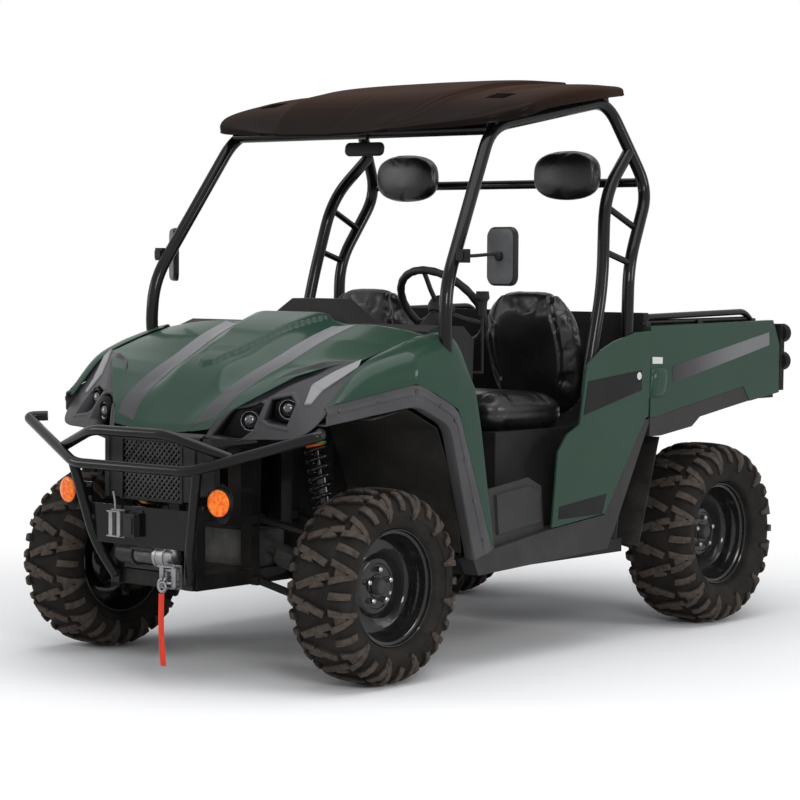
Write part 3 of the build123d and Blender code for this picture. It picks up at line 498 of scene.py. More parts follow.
def lug_nuts(reach, count=5):
    """Nuts at equal turns round the axle: a six sided turned section moved out by reach."""
    shells = []
    for k in range(count):
        turn = 2 * pi * (k + 0.25) / count
        shells.append(woven(turned(nut, 6) + (0, reach * cos(turn), reach * sin(turn)), wrap_v=True))
    return gathered(shells)


cap_plastic = finish_of("cap_plastic", (0.05, 0.05, 0.052), (0.035, 0.035, 0.037), 20, 0.5, 0.2, 0.0002, 1500)
nut_circle = 0.056
steel = gathered([spun(dish, 96, ring=True), spun(hub)])
for name, side, centre, radius, half in wheels:
    for piece_name, shell, paint, stands_for in (("deep_rim_" + name, steel, gloss_black, ("rim_" + name,)),
                                                 ("nuts_" + name, lug_nuts(nut_circle), nut_chrome, ()),
                                                 ("cap_" + name, spun(cap, 40), cap_plastic, ())):
        points, faces = mirrored(shell) if side < 0 else shell
        add_piece(piece_name, (points + centre, faces), "wheel_" + name, paint, stands_for)


# ---- roll cage -------------------------------------------------------------------------------------
# Two bent side frames of 45 mm steel tube with small braces, joined by cross tubes, powder coated black.
# The tubes are welded to each other and their feet are bolted to the frame's side rails.
def bent(corners, radius, steps=8):
    """A path through corners, each inner one rounded: (1-t)^2 a + 2t(1-t) corner + t^2 b from run to run."""
    corners = np.asarray(corners, float)
    t = np.linspace(0, 1, steps)[:, None]
    path = [corners[:1]]
    for before, corner, after in zip(corners, corners[1:], corners[2:]):
        back, on = before - corner, after - corner
        reach = min(radius, 0.45 * np.linalg.norm(back), 0.45 * np.linalg.norm(on))
        a, b = corner + back / np.linalg.norm(back) * reach, corner + on / np.linalg.norm(on) * reach
        path.append((1 - t) ** 2 * a + 2 * t * (1 - t) * corner + t ** 2 * b)
    return np.concatenate(path + [corners[-1:]])


def carried(path, profile, closed=False):
    """A profile of (across, up) carried along a path: path + across·side + up·top, its ends closed flat."""
    path, profile = np.asarray(path, float), np.asarray(profile, float)
    tangent = (np.roll(path, -1, 0) - np.roll(path, 1, 0)) if closed else np.gradient(path, axis=0)
    tangent /= np.linalg.norm(tangent, axis=1)[:, None]
    top = np.linalg.svd(path - path.mean(0))[2][2]
    side = np.cross(tangent, top)
    side /= np.linalg.norm(side, axis=1)[:, None]
    top = np.cross(side, tangent)
    rings = path[:, None] + profile[None, :, :1] * side[:, None] + profile[None, :, 1:] * top[:, None]
    points, faces = woven(rings, wrap_u=closed, wrap_v=True)
    if not closed:
        count = len(profile)
        faces += [list(range(count)), list(range(len(points) - 1, len(points) - 1 - count, -1))]
    return points, faces


def round_bar(diameter, sides=20):
    """A round profile: (r cos a, r sin a)."""
    a = full_turn(sides)
    return np.stack([np.cos(a), np.sin(a)], -1) * diameter / 2


def tube(corners, diameter, radius=0.0):
    """A round tube through the corners, bent there by the radius where one is given."""
    return carried(bent(corners, radius) if radius else corners, round_bar(diameter))


def on_both(*shells):
    """The shells with their mirror images."""
    return gathered([*shells, *[mirrored(shell) for shell in shells]])


def mm(*points):
    """Points written in millimetres, as metres."""
    return np.array(points, float) / 1000


powder_black = finish_of("powder_black", (0.004, 0.004, 0.0045), (0.007, 0.0065, 0.0065), 4, 0.22, 0.12, 0.0002,
                         700, coat=0.3, dusty=0.03, dust_top=0.5, scuffed=0.05, coat_roughness=0.07)
cage_tube, brace_tube, belt_tube, perch_tube = 0.045, 0.024, 0.034, 0.030
front_hoop = mm((637.5, -478, 370), (672, -600, 900), (695, -668, 1100), (689, -657, 1303), (604, -312, 1846),
                (600, 378, 1969), (660, 561, 1649), (699, 389, 1373), (699, 379, 1010), (637.5, 385, 370))
rear_hoop = mm((637.5, 150, 370), (699, 145, 985), (699, 225, 1298), (656, 294, 1624), (632, 480, 1790))
tubes = [tube(front_hoop, cage_tube, 0.09), tube(rear_hoop, cage_tube, 0.11),
         tube(mm((690, 250, 1420), (697, 400, 1378)), brace_tube),
         tube(mm((664, 290, 1585), (674, 480, 1500)), brace_tube),
         tube(mm((386, 545, 1684), (386, 468.5, 1684)), perch_tube)]
crossing = [tube(mm((-reach, y, z), (reach, y, z)), width) for reach, y, z, width in (
    (601, -312, 1840, cage_tube), (600, 372, 1962, cage_tube), (656, 545, 1676, belt_tube))]
add_piece("bent_roll_cage", gathered([on_both(*tubes), *crossing]), "chassis", powder_black,
          ("roll_cage",), 40)


# ---- bull bar --------------------------------------------------------------------------------------
# A bumper of bent 35 mm steel tube with curled ends, an upper hoop and two legs, powder coated black.
# Its winch plate is welded between the legs, and four brackets bolt it to the frame's nose.
bar_tube, stay_tube = 0.035, 0.026
main_bar = mm((638, -1224, 834), (688, -1276, 832), (270, -1441, 703), (-270, -1441, 703), (-688, -1276, 832),
              (-638, -1224, 834))
upper_bar = mm((391, -1373, 750), (179, -1446, 819), (-179, -1446, 819), (-391, -1373, 750))
leg = mm((292, -1427, 712), (222, -1390, 441), (172, -1342, 327))
stay = mm((240, -1398, 520), (172, -1338, 520))
bars = [tube(main_bar, bar_tube, 0.045), tube(upper_bar, bar_tube, 0.05),
        on_both(tube(leg, bar_tube, 0.06), tube(stay, stay_tube))]


def plate(corners, thick):
    """A flat plate: its corners, and the same corners moved by thick."""
    corners = np.asarray(corners, float)
    count = len(corners)
    faces = [list(range(count))[::-1], list(range(count, 2 * count))]
    faces += [[i, (i + 1) % count, (i + 1) % count + count, i + count] for i in range(count)]
    return np.concatenate([corners, corners + np.asarray(thick, float)]), faces


def slab(*corners):
    """A box between two corners in millimetres, as a plate of its lower face."""
    (a, b, c), (d, e, f) = mm(*corners)
    return plate([(a, b, c), (d, b, c), (d, e, c), (a, e, c)], (0, 0, f - c))


winch_plate = plate(mm((-250, -1396, 570), (250, -1396, 570), (222, -1396, 440), (-222, -1396, 440)),
                    (0, 0.005, 0))
brackets = on_both(slab((152, -1346, 302), (192, -1330.3, 348)), slab((152, -1342, 500), (192, -1330.3, 540)),
                   slab((258, -1371.7, 575), (380, -1366, 635)), slab((258, -1400, 590), (285, -1366, 620)))
add_piece("bent_bull_bar", gathered([*bars, winch_plate, brackets]), "chassis", powder_black,
          ("bull_bar",), 40)


# ---- hood ------------------------------------------------------------------------------------------
# An injection moulded bonnet, green through and through, with a raised middle that starts in a blunt V.
# It hinges at its rear edge on two ears; a long graphite stripe lies on each side of the middle.
def eased(at, knots, values):
    """A cubic through values at uneven knots; the slope at each knot is that of its neighbours."""
    at, knots, values = np.asarray(at, float), np.asarray(knots, float), np.asarray(values, float)
    slopes = np.gradient(values, knots)
    i = np.clip(np.searchsorted(knots, at) - 1, 0, len(knots) - 2)
    span = knots[i + 1] - knots[i]
    f = np.clip((at - knots[i]) / span, 0, 1)
    return ((2 * f ** 3 - 3 * f ** 2 + 1) * values[i] + (f ** 3 - 2 * f ** 2 + f) * span * slopes[i]
            + (3 * f ** 2 - 2 * f ** 3) * values[i + 1] + (f ** 3 - f ** 2) * span * slopes[i + 1])


def ramp(value, low, high):
    """A smooth step from 0 at low to 1 at high."""
    t = np.clip((value - low) / (high - low), 0, 1)
    return t * t * (3 - 2 * t)


# millimetres at stations from the front edge to the rear one: the middle, the valleys and the side edges
hood_y = np.array([-1303, -1250, -1110, -965, -820, -650.0])
hood_middle = np.array([823, 880, 1021, 1086, 1148, 1197.0])
hood_valley_x = np.array([150, 186, 212, 232, 248, 266.0])
hood_valley = np.array([831, 894, 976, 1043, 1110, 1172.0])
edge_y = np.array([-1303, -1250, -1110, -1035, -965, -820, -650.0])
hood_edge_x = np.array([222, 283, 434, 512, 582, 594, 597.0])
hood_edge = np.array([842, 900, 1009, 1041, 1058, 1100, 1142.0])
hood_front, hood_lip, hood_rear = edge_y[0], edge_y[1], edge_y[-1]
vee_rise, vee_half, vee_spread, vee_slant, vee_tip = 13, 24, 0.33, 0.42, 1118


def hood_top(x, y):
    """Height over (x, y), mm: level in the middle, a cosine down to the valley, then a chord with a sine crown.

    The raised middle adds 13 mm inside a V whose half width grows from its tip towards the rear.
    """
    reach = np.abs(x)
    middle, valley = eased(y, hood_y, hood_middle), eased(y, hood_y, hood_valley)
    valley_x, edge_x = eased(y, hood_y, hood_valley_x), np.interp(y, edge_y, hood_edge_x)
    inside = np.clip((reach - 0.42 * valley_x) / (0.58 * valley_x), 0, 1)
    outside = np.clip((reach - valley_x) / (edge_x - valley_x), 0, 1)
    z = valley + (middle - valley) * (0.5 + 0.5 * np.cos(pi * inside))
    z += outside * (np.interp(y, edge_y, hood_edge) - valley)
    crown = np.interp(y, (-1250, -1000, -820, -650), (0, 5, 12, 9))
    z += crown * np.sin(pi * outside)
    # the V's sides, and its blunt front that slants back from the middle
    side = vee_half + (y + vee_tip) * vee_spread - reach
    front = (y + vee_tip - 14) - vee_slant * reach
    z += vee_rise * ramp(np.minimum(side, front), -4, 4)
    # the rear edge rolls down 6 mm over its last 20, and the front edge 8 mm over its last 18
    return z - 6 * ramp(y, hood_rear - 20, hood_rear) - 8 * ramp(-y, -hood_front - 18, -hood_front)


across_u = np.linspace(-1, 1, 161)
along_y = np.concatenate([np.linspace(hood_front, hood_lip, 14)[:-1], np.linspace(hood_lip, hood_rear, 101)])
hood_x = across_u[None, :] * np.interp(along_y, edge_y, hood_edge_x)[:, None]
hood_yy = np.repeat(along_y[:, None], len(across_u), 1)
hood_grid = np.stack([hood_x, hood_yy, hood_top(hood_x, hood_yy) - 0.5], -1) / 1000
body_green = finish_of("body_green", (0.018, 0.045, 0.030), (0.021, 0.050, 0.034), 2.5, 0.30, 0.08, 0.00012, 900,
                       coat=0.22, dusty=0.03, dust_top=0.7, scuffed=0.02, specular=0.05, coat_roughness=0.1)


def softened(piece, width, angle=None):
    """The piece's edges get a small round, all of them or those sharper than angle degrees."""
    edge = piece.modifiers.new("edge", "BEVEL")
    edge.width, edge.segments = width, 2
    if angle:
        edge.limit_method, edge.angle_limit = "ANGLE", radians(angle)


def walled(piece, thickness, width=0.0015):
    """The sheet gets a wall behind it, and its edges a small round."""
    wall = piece.modifiers.new("wall", "SOLIDIFY")
    wall.thickness, wall.offset = thickness, -1
    if width:
        softened(piece, width, 40)


def sheet_of(grid, upward=(0, 0, 1)):
    """A grid's quads, all turned so that most of them face the given way."""
    points, faces = woven(grid)
    first = points[np.array(faces)]
    facing = np.cross(first[:, 1] - first[:, 0], first[:, 2] - first[:, 0]) @ np.asarray(upward, float)
    return points, faces if facing.sum() > 0 else [face[::-1] for face in faces]


body_sheet = 0.0035
walled(add_piece("moulded_hood", sheet_of(hood_grid), "hood", body_green, ("hood",), 32), body_sheet)
add_piece("hood_ears", on_both(slab((200, -668, 1130), (208, -639, 1168))), "hood", powder_black,
          (), 30)

graphite = finish_of("graphite_film", (0.10, 0.10, 0.105), (0.075, 0.075, 0.08), 6, 0.34, 0.08, 0.00005, 3000,
                     coat=0.1, dusty=0.03, dust_top=0.7, coat_roughness=0.2)
overlaid(graphite, (lambda tree: 0.72, (0.05, 0.05, 0.053)),
         (lambda tree: going(tree, 1, -1.25, -0.72), (0.20, 0.20, 0.21)))
run, over = np.linspace(0, 1, 150)[:, None], np.linspace(0, 1, 13)[None, :]
# inner and outer edge of the left stripe: (x, y) from its front end to its rear end
inner = np.array([(140, -1292), (158, -1240), (176, -1110), (196, -960), (214, -800), (226, -700)], float)
outer = np.array([(226, -1278), (246, -1230), (266, -1100), (282, -950), (298, -790), (308, -672)], float)
knots = np.linspace(0, 1, len(inner))
sx, sy = [eased(run, knots, inner[:, k]) * (1 - over) + eased(run, knots, outer[:, k]) * over for k in (0, 1)]
stripe = sheet_of(np.stack([sx, sy, hood_top(sx, sy) + 0.3], -1) / 1000)
add_piece("hood_stripes", on_both(stripe), "hood", graphite, (), 40)


# ---- front fenders and flares ----------------------------------------------------------------------
# Green moulded fenders roll over from the bonnet's seam to the sides and run down behind the arches.
# Charcoal flares are screwed to their lower edge: a band with a raised rib and a lip turned in.
v = np.linspace(0, 1, 120)
knots = np.array([0, 0.22, 0.34, 0.45, 0.56, 0.70, 1.0])
# the flare's edge (y, z) and the seam or rear edge (x, y, z) that faces it, from the front tip to the sill
low_y = np.interp(v, knots, (-1160, -960, -850, -760, -690, -632, -443))
low_z = np.interp(v, knots, (917, 960, 982, 950, 918, 890, 404))
top_x = np.interp(v, knots, (590, 601, 605, 606, 650, 722, 723))
top_y = eased(v, knots, (-1152, -966, -830, -700, -612, -545, -435))
top_z = eased(v, knots, (904, 1050, 1096, 1130, 1132, 960, 411))
side_x = np.interp(low_y, (-1170, -850, -780), (610, 722, 724))
s = np.linspace(0, 1, 30)[None, :]
# across the fender: y and z go straight, x follows a quarter of a superellipse so the side stands upright
squareness = 2.6
bow = (1 - s ** squareness) ** (1 / squareness)
fx = top_x[:, None] + (side_x - top_x)[:, None] * bow
fy = low_y[:, None] + (top_y - low_y)[:, None] * s
fz = low_z[:, None] + (top_z - low_z)[:, None] * (s + 0.03 * np.sin(pi * s))
fender = sheet_of(np.stack([fx, fy, fz], -1) / 1000, (1, 0, 0.6))
walled(add_piece("moulded_fenders", on_both(fender), "chassis", body_green, ("front_fenders",), 40),
       body_sheet)

charcoal = finish_of("charcoal_plastic", (0.075, 0.075, 0.078), (0.056, 0.056, 0.059), 5, 0.44, 0.12, 0.00035,
                     1500, dusty=0.08, dust_top=0.9, scuffed=0.12, specular=0.12)


def flare_edge(*corners):
    """140 points (y, z) at even steps along the corners, rounded there by 45 mm."""
    line = bent([(y, z, 0) for y, z in corners], 45, 10)[:, :2]
    spread = np.linspace(0, len(line) - 1, 140)
    return np.stack([np.interp(spread, np.arange(len(line)), line[:, k]) for k in (0, 1)], -1)


outer_edge = flare_edge((-1165, 915), (-842, 985), (-632, 890), (-443, 404))
inner_edge = flare_edge((-1165, 852), (-846, 910), (-676, 835), (-541, 377))
# across the band: share of the way in, and how far it stands out (mm); the last points are the turned lip
share = np.array([0, 0, 0.03, 0.20, 0.24, 0.28, 0.44, 0.48, 0.52, 0.90, 0.97, 1.0, 1.0, 0.98])
stand = np.array([-8, 1.5, 3, 3.5, 7, 7.5, 7.5, 4.0, 3.5, 3.5, 2, -2, -22, -40])
yz = outer_edge[:, None] * (1 - share)[None, :, None] + inner_edge[:, None] * share[None, :, None]
out_x = np.interp(yz[..., 0], (-1170, -850, -780), (606, 722, 725)) + stand[None, :]
flare = sheet_of(np.concatenate([out_x[..., None], yz], -1) / 1000, (1, 0, 0))
walled(add_piece("ribbed_flares", on_both(flare), "chassis", charcoal, ("fender_flares",), 28),
       0.003, 0.0012)
screw = [(0.0028, 0), (0.0028, 0.0034), (0.0040, 0.0050), (0.0028, 0.0078), (0, 0.0085), (0, 0)]
screw_places = ((629, -1122, 903), (676, -990, 932), (727, -852, 958), (731, -735, 908), (731, -652, 856),
                (731, -598, 720), (731, -548, 580), (731, -500, 445))
screws = [woven(turned(screw, 16) + mm(place)[0], wrap_v=True) for place in screw_places]
screw_steel = finish_of("screw_steel", (0.10, 0.10, 0.10), (0.05, 0.05, 0.05), 60, 0.35, 0.2, 0.0001, 2000,
                        metal=0.8)
add_piece("flare_screws", on_both(*screws), "chassis", screw_steel, (), 30)


# ---- lamp bezels and headlamps ---------------------------------------------------------------------
# One moulding on each side holds two projector lamps in deep pockets with a slanted web between them.
# A silver fin runs up its outer side to a point beside the bonnet.
def within(points, corners, flat_x, flat_y):
    """Distance inside a convex outline on a plane: the least distance to its sides, below 0 outside."""
    at = np.stack([points @ flat_x, points @ flat_y], -1)
    corners = np.asarray(corners, float)
    sides = np.roll(corners, -1, 0) - corners
    turn = np.sign(np.sum(corners[:, 0] * np.roll(corners[:, 1], -1) - np.roll(corners[:, 0], -1) * corners[:, 1]))
    gaps = [turn * (side[0] * (at[..., 1] - corner[1]) - side[1] * (at[..., 0] - corner[0])) / np.linalg.norm(side)
            for corner, side in zip(corners, sides)]
    return np.min(gaps, 0)


def aimed(shell, place, direction):
    """A shell turned about X is moved to place, its X axis along direction."""
    d = np.asarray(direction, float) / np.linalg.norm(direction)
    side = np.cross(d, (0, 0, 1))
    side /= np.linalg.norm(side)
    return shell[0] @ np.stack([d, side, np.cross(side, d)]) + place, shell[1]


bezel_out, bezel_x, bezel_y = np.array(((0.259, -0.743, 0.618), (0.739, 0.564, 0.368), (-0.622, 0.362, 0.695)))
lamp_turn = radians(22)
lamp_axis = np.array((sin(lamp_turn), -cos(lamp_turn), 0))
upper = np.array([(233, -1290, 858), (300, -1236, 912), (421, -1083, 1032), (588, -967, 1058)], float)
lower = np.array([(212, -1316, 800), (402, -1274, 806), (578, -1194, 846), (604, -1012, 1018)], float)
s, t = np.linspace(0, 1, 180), np.linspace(-0.05, 1, 92)[None, :, None]
high, down = [np.stack([eased(s, (0, 0.3, 0.7, 1), line[:, k]) for k in range(3)], -1)[:, None]
              for line in (upper, lower)]
face = high * (1 - t) + down * t
# outlines on the bezel's plane, mm: the two pockets and the fin's two halves
pockets = (((-258, -58), (-159, 0), (-74, -13), (-65, -36), (-124, -113), (-173, -124), (-205, -108)),
           ((-38, -29), (28, -44), (32, -84), (-16, -158), (-68, -116), (-79, -95)))
pocket_floors = (1236, 1220)
fins = (((60, -98), (103, -25), (130, -65), (82, -106)),
        ((103, -25), (184, 2), (285, 24), (265, -10), (130, -65)))
tucked, rim_rise, fin_rise = 17, 3, 5
hollow = [within(face, outline, bezel_x, bezel_y) for outline in pockets]
silver = ramp(np.maximum(*[within(face, outline, bezel_x, bezel_y) for outline in fins]), -1.5, 1.5)
nearest = np.maximum(*hollow)
# the upper edge steps down to lie under the bonnet; the pockets' rims and the fin stand proud
tuck = (1 - ramp(t[0], 0.10, 0.24))[None] * (ramp(s, 0.16, 0.34) * (1 - ramp(s, 0.72, 0.86)))[:, None, None]
face = face - bezel_out * tucked * tuck
rim = ramp(nearest, -16, -12) * (1 - ramp(nearest, -4, 0))
face = face + bezel_out * (rim_rise * rim + fin_rise * silver)[..., None]
dark = ramp(nearest, 0, 4)
for inside, back in zip(hollow, pocket_floors):
    deep = np.maximum(face @ lamp_axis - back, 0) * ramp(inside, -1, 7)
    face = face - lamp_axis * deep[..., None]
bezel_shell = sheet_of(face / 1000, bezel_out)
bezel_plastic = finish_of("bezel_plastic", (0.045, 0.045, 0.048), (0.036, 0.036, 0.039), 6, 0.36, 0.1, 0.0002, 1800,
                          coat=0.06, dusty=0.05, specular=0.12)
overlaid(bezel_plastic, (lambda tree: mark_of(tree, "dark"), (0.004, 0.004, 0.005)),
         (lambda tree: mark_of(tree, "silver"), (0.24, 0.24, 0.25)))
bezels = add_piece("lamp_bezels", on_both(bezel_shell), "chassis", bezel_plastic, (), 40)
for label, mark in (("dark", dark), ("silver", silver)):
    marked(bezels, label, np.tile(mark.ravel(), 2))
walled(bezels, 0.003, 0)

lamp_metal = finish_of("lamp_reflector", (0.30, 0.305, 0.31), (0.10, 0.10, 0.105), 90, 0.12, 0.1, 0.0002, 1200,
                       metal=1, dusty=0.02)
lens_glass = finish_of("lens_glass", (0.012, 0.013, 0.015), (0.05, 0.052, 0.056), 130, 0.05, 0.03, 0.0003, 500,
                       coat=1, dusty=0.02, specular=0.5, coat_roughness=0.03)
lamp_black = finish_of("lamp_housing", (0.008, 0.008, 0.009), (0.012, 0.012, 0.013), 20, 0.35, 0.1, 0.0001, 1500)
# sections as (along the beam, radius): the bowl, the projector lens and the ring round it
bowl = [(-0.020, 0), (-0.020, 0.031), (0, 0.0325), (0.003, 0.0318), (0.003, 0.03), (-0.002, 0.0285),
        (-0.009, 0.022), (-0.010, 0)]
dome = [(-0.010, 0), (-0.010, 0.0225), (-0.003, 0.0225), (0.003, 0.0205), (0.0085, 0.015), (0.0115, 0.0075),
        (0.0122, 0)]
halo = [(-0.014, 0.0335), (0.002, 0.0365), (0.006, 0.0375), (0.007, 0.036), (0.003, 0.0335), (-0.004, 0.032)]
for number, place, back in ((1, (342, -1236, 862), 4), (2, (451, -1172, 901), 6)):
    spot = (np.array(place, float) - lamp_axis * back) / 1000
    for label, section, paint in (("bowl", bowl, lamp_metal), ("lens", dome, lens_glass),
                                  ("ring", halo, lamp_black)):
        shell = aimed(spun(section, ring=label == "ring"), spot, lamp_axis)
        hidden = ("headlamps",) if (number, label) == (1, "bowl") else ()
        add_piece(f"lamp_{label}_{number}", on_both(shell), "chassis", paint, hidden, 30)


# ---- grille and its surround -----------------------------------------------------------------------
# A black moulded frame with slanted cheeks closes the nose between the lamp bezels.
# A fine diamond mesh of flat wire is clipped into it.
surround = [slab((134, -1345, 585), (222, -1331, 806)), slab((134, -1349, 585), (146, -1331, 800)),
            slab((196, -1352, 590), (206, -1340, 800)),
            plate(mm((206, -1340, 800), (240, -1312, 800), (244, -1300, 600), (206, -1340, 600)), (0, 0.005, 0)),
            plate(mm((216, -1318, 806), (400, -1272, 808), (404, -1266, 796), (222, -1310, 770)), (0, 0.004, 0))]
rails = [slab((-222, -1347, 785), (222, -1331, 806)), slab((-222, -1345, 585), (222, -1331, 592)),
         plate(mm((-226, -1320, 812), (226, -1320, 812), (222, -1346, 800), (-222, -1346, 800)), (0, 0, 0.004))]
surround_black = finish_of("surround_black", (0.020, 0.020, 0.021), (0.030, 0.030, 0.031), 6, 0.42, 0.12, 0.0004,
                           1200, dusty=0.06, specular=0.15)
softened(add_piece("grille_surround", gathered([on_both(*surround), *rails]), "chassis",
                   surround_black, ("front_fascia",), 30), 0.0012)
# the mesh: flat wires at 45 degrees both ways inside a panel of half_w by half_h, mm
half_w, half_h, mesh_middle, pitch = 134, 98.5, 686.5, 22.0
offsets = np.arange(-220, 221, pitch)
wire = [(-0.0028, -0.0012), (0.0028, -0.0012), (0.0028, 0.0012), (-0.0028, 0.0012)]
wires = []
for lean, back in ((1, -1339.5), (-1, -1337)):
    for offset in offsets:
        low, high = max(-half_w, offset - half_h), min(half_w, offset + half_h)
        if high - low > 6:
            ends = mm(*[(lean * x, back, mesh_middle + (x - offset)) for x in (low, high)])
            wires.append(carried(ends, wire))
mesh_black = finish_of("mesh_black", (0.045, 0.045, 0.046), (0.07, 0.07, 0.07), 30, 0.3, 0.1, 0.0001, 1500,
                       coat=0.3, dusty=0.05)
add_piece("diamond_mesh", gathered(wires), "chassis", mesh_black, ("grille_mesh",), 30)


# ---- indicators ------------------------------------------------------------------------------------
# Round lamps with a domed amber plastic lens in a black shell.
# They are screwed to pear shaped brackets that stand on the bull bar's legs.
amber = finish_of("amber_lens", (0.80, 0.075, 0.004), (0.98, 0.26, 0.015), 75, 0.08, 0.05, 0.0012, 260, coat=0.5,
                  dusty=0.02, coat_roughness=0.03)
tree = amber.node_tree
shader = tree.nodes["Principled BSDF"]
link(tree, shader.inputs["Base Color"].links[0].from_socket, shader.inputs["Emission Color"])
shader.inputs["Emission Strength"].default_value = 0.12
cup = [(-0.014, 0), (-0.014, 0.040), (-0.004, 0.0462), (0.006, 0.0465), (0.008, 0.0455), (0.008, 0.0435)]
lens = [(0.006, 0.0440), (0.009, 0.0435), (0.0125, 0.0395), (0.0150, 0.0310), (0.0165, 0.0180), (0.0170, 0)]
lamp_x, lamp_y, lamp_z = 352, -1385, 605
facing = (0.12, -1, 0)
cup, lens = [aimed(spun(section), mm((lamp_x, lamp_y, lamp_z))[0], facing) for section in (cup, lens)]
# the bracket: a pear shaped plate behind the lamp, its outline in (x, z) from the lamp's middle, mm
pear = ((0, 62), (30, 45), (44, 20), (46, -5), (38, -34), (16, -66), (-10, -70), (-34, -40), (-44, -8), (-40, 24),
        (-24, 48))
bracket = plate(mm(*[(lamp_x + x, lamp_y + 11, lamp_z + z) for x, z in pear]), (0, 0.0035, 0))
add_piece("indicator_shells", on_both(cup, bracket), "chassis", lamp_black, (), 30)
add_piece("indicator_lenses", on_both(lens), "chassis", amber, ("indicators",), 40)


# ---- roof ------------------------------------------------------------------------------------------
# A roof thermoformed from one brown black sheet: a raised middle runs into a visor, wings fall to a rim.
# It sits on rubber pads on the cage; a small vent in each wing is a near black sheet, painted shade of its recess.
def across_rows(columns, count):
    """Rows smoothed across: each column's weight is the cubic through 1 at that column and 0 at the others."""
    knots = np.arange(columns.shape[1])
    spread = np.linspace(0, knots[-1], count)
    return columns @ np.stack([eased(spread, knots, row) for row in np.eye(len(knots))])


roof_y = np.array([-505, -385, -300, -100, 200, 440.0])
roof_top = 2060
# x and z at the middle, the raised middle's edge, its foot, the wing, the rim's top and the rim's foot
roof_x = np.array([(0, 120, 180, 230, 240, 296, 302), (0, 200, 300, 330, 410, 588, 606),
                   (0, 220, 326, 356, 440, 668, 690), (0, 230, 346, 372, 450, 678, 702),
                   (0, 230, 356, 380, 450, 666, 694), (0, 230, 356, 378, 440, 608, 636)], float)
roof_z = np.array([(1826, 1829, 1830, 1834, 1835, 1839, 1830), (1895, 1899, 1902, 1890, 1884, 1879, 1850),
                   (1948, 1951, 1950, 1932, 1924, 1911, 1869), (2008, 2008, 2004, 1990, 1984, 1967, 1917),
                   (2050, 2048, 2042, 2030, 2026, 2011, 1965), (2059.5, 2057, 2050, 2039, 2036, 2023, 1993)],
                  float)
long_y, wide_count = np.linspace(roof_y[0], roof_y[-1], 92), 90
rx, rz = [across_rows(np.stack([eased(long_y, roof_y, rows[:, k]) for k in range(7)], -1), wide_count)
          for rows in (roof_x, roof_z)]
ry = np.repeat(long_y[:, None], wide_count, 1)
# a shallow bay in each wing
bay_depth = 7
rz = rz - bay_depth * ramp(rx, 470, 490) * (1 - ramp(rx, 560, 580)) * ramp(ry, -120, -90) * (1 - ramp(ry, 250, 290))
roof_shell = sheet_of(np.stack([rx, ry, np.minimum(rz, roof_top)], -1) / 1000)
roof_black = finish_of("roof_gloss", (0.0065, 0.005, 0.0045), (0.010, 0.0065, 0.0055), 3, 0.24, 0.08, 0.00012, 700,
                       coat=0.06, dusty=0.015, dust_top=1.0, specular=0, coat_roughness=0.2)


def painted_top_sheen(tree):
    """The roof's painted sheen: browner patches of painted highlight, wide noise on its top, none on the rim."""
    return calc(tree, "MULTIPLY", between(tree, noise(tree, places(tree), 1.1, 1), 0.15, 0.85),
                going(tree, 2, 1.86, 2.04))


def painted_vent_shade(low_y, high_y, low_x, high_x):
    """Painted shade of a vent recess: a dark sheet a millimetre over the roof, between the given y and x (mm)."""
    y = np.linspace(low_y, high_y, 13)[:, None] + np.zeros((1, 9))
    x = np.linspace(low_x, high_x, 9)[None, :] + np.zeros((13, 1))
    near = np.argmin(np.abs(long_y[:, None] - y[:, 0][None, :]), 0)
    z = np.stack([np.interp(row_x, rx[k], rz[k]) for row_x, k in zip(x, near)])
    return sheet_of(np.stack([x, y, np.minimum(z + 1.2, roof_top)], -1) / 1000)


# painted highlight: browner patches on the roof's top
overlaid(roof_black, (painted_top_sheen, (0.042, 0.019, 0.012)))
# near black and without gloss: the painted shade of the vents' recesses
vent_shade_black = finish_of("vent_shade_black", (0.003, 0.003, 0.003), (0.005, 0.005, 0.005), 20, 0.6, 0.1, 0.0004, 900,
                       specular=0)
add_piece("roof_vents", on_both(painted_vent_shade(-212, -140, 500, 580)), "chassis", vent_shade_black, (), 30)
walled(add_piece("moulded_roof", on_both(roof_shell), "chassis", roof_black, ("roof",), 34), 0.007)
pads = [slab((588, y - 15, z - 72), (618, y + 15, z - 3)) for y, z in ((-290, 1916), (350, 2017))]
add_piece("roof_pads", on_both(*pads), "chassis", powder_black, (), 30)


# ---- seats and headrests ---------------------------------------------------------------------------
# Two bucket seats of black vinyl over foam, each a cushion and a back, with sewn seams round a middle panel.
# Oval foam headrests hang from the cage's cross tube.
def pillow(centre, half_size, outline, edge, axis, lean=0.0, taper=lambda up: 1.0, rings=44, sides=96):
    """A closed pad about an axis: |p/a|^n + |q/b|^n = 1, with n the power outline, and a rounded edge by another.

    The pad leans back about X by lean degrees, and taper gives its width's share for each height from -1 to 1.
    """
    u = np.linspace(-pi / 2, pi / 2, rings)[:, None]
    w = np.linspace(0, 2 * pi, sides, endpoint=False)[None, :]
    bend = lambda value, power: np.sign(value) * np.abs(value) ** (2 / power)
    out, thick = bend(np.cos(u), edge), bend(np.sin(u), edge) + 0 * w
    p, q = out * bend(np.cos(w), outline), out * bend(np.sin(w), outline)
    x, y, z = (p * taper(q), thick, q) if axis == "y" else (p, q, thick)
    x, y, z = x * half_size[0], y * half_size[1], z * half_size[2]
    lean = radians(lean)
    return np.stack([centre[0] + x, centre[1] + y * cos(lean) + z * sin(lean),
                     centre[2] - y * sin(lean) + z * cos(lean)], -1) / 1000


def per_vertex(mesh, label):
    """The three numbers that each vertex holds by that label, as an array."""
    values = np.empty(len(mesh.vertices) * 3)
    mesh.vertices.foreach_get(label, values)
    return values.reshape(-1, 3)


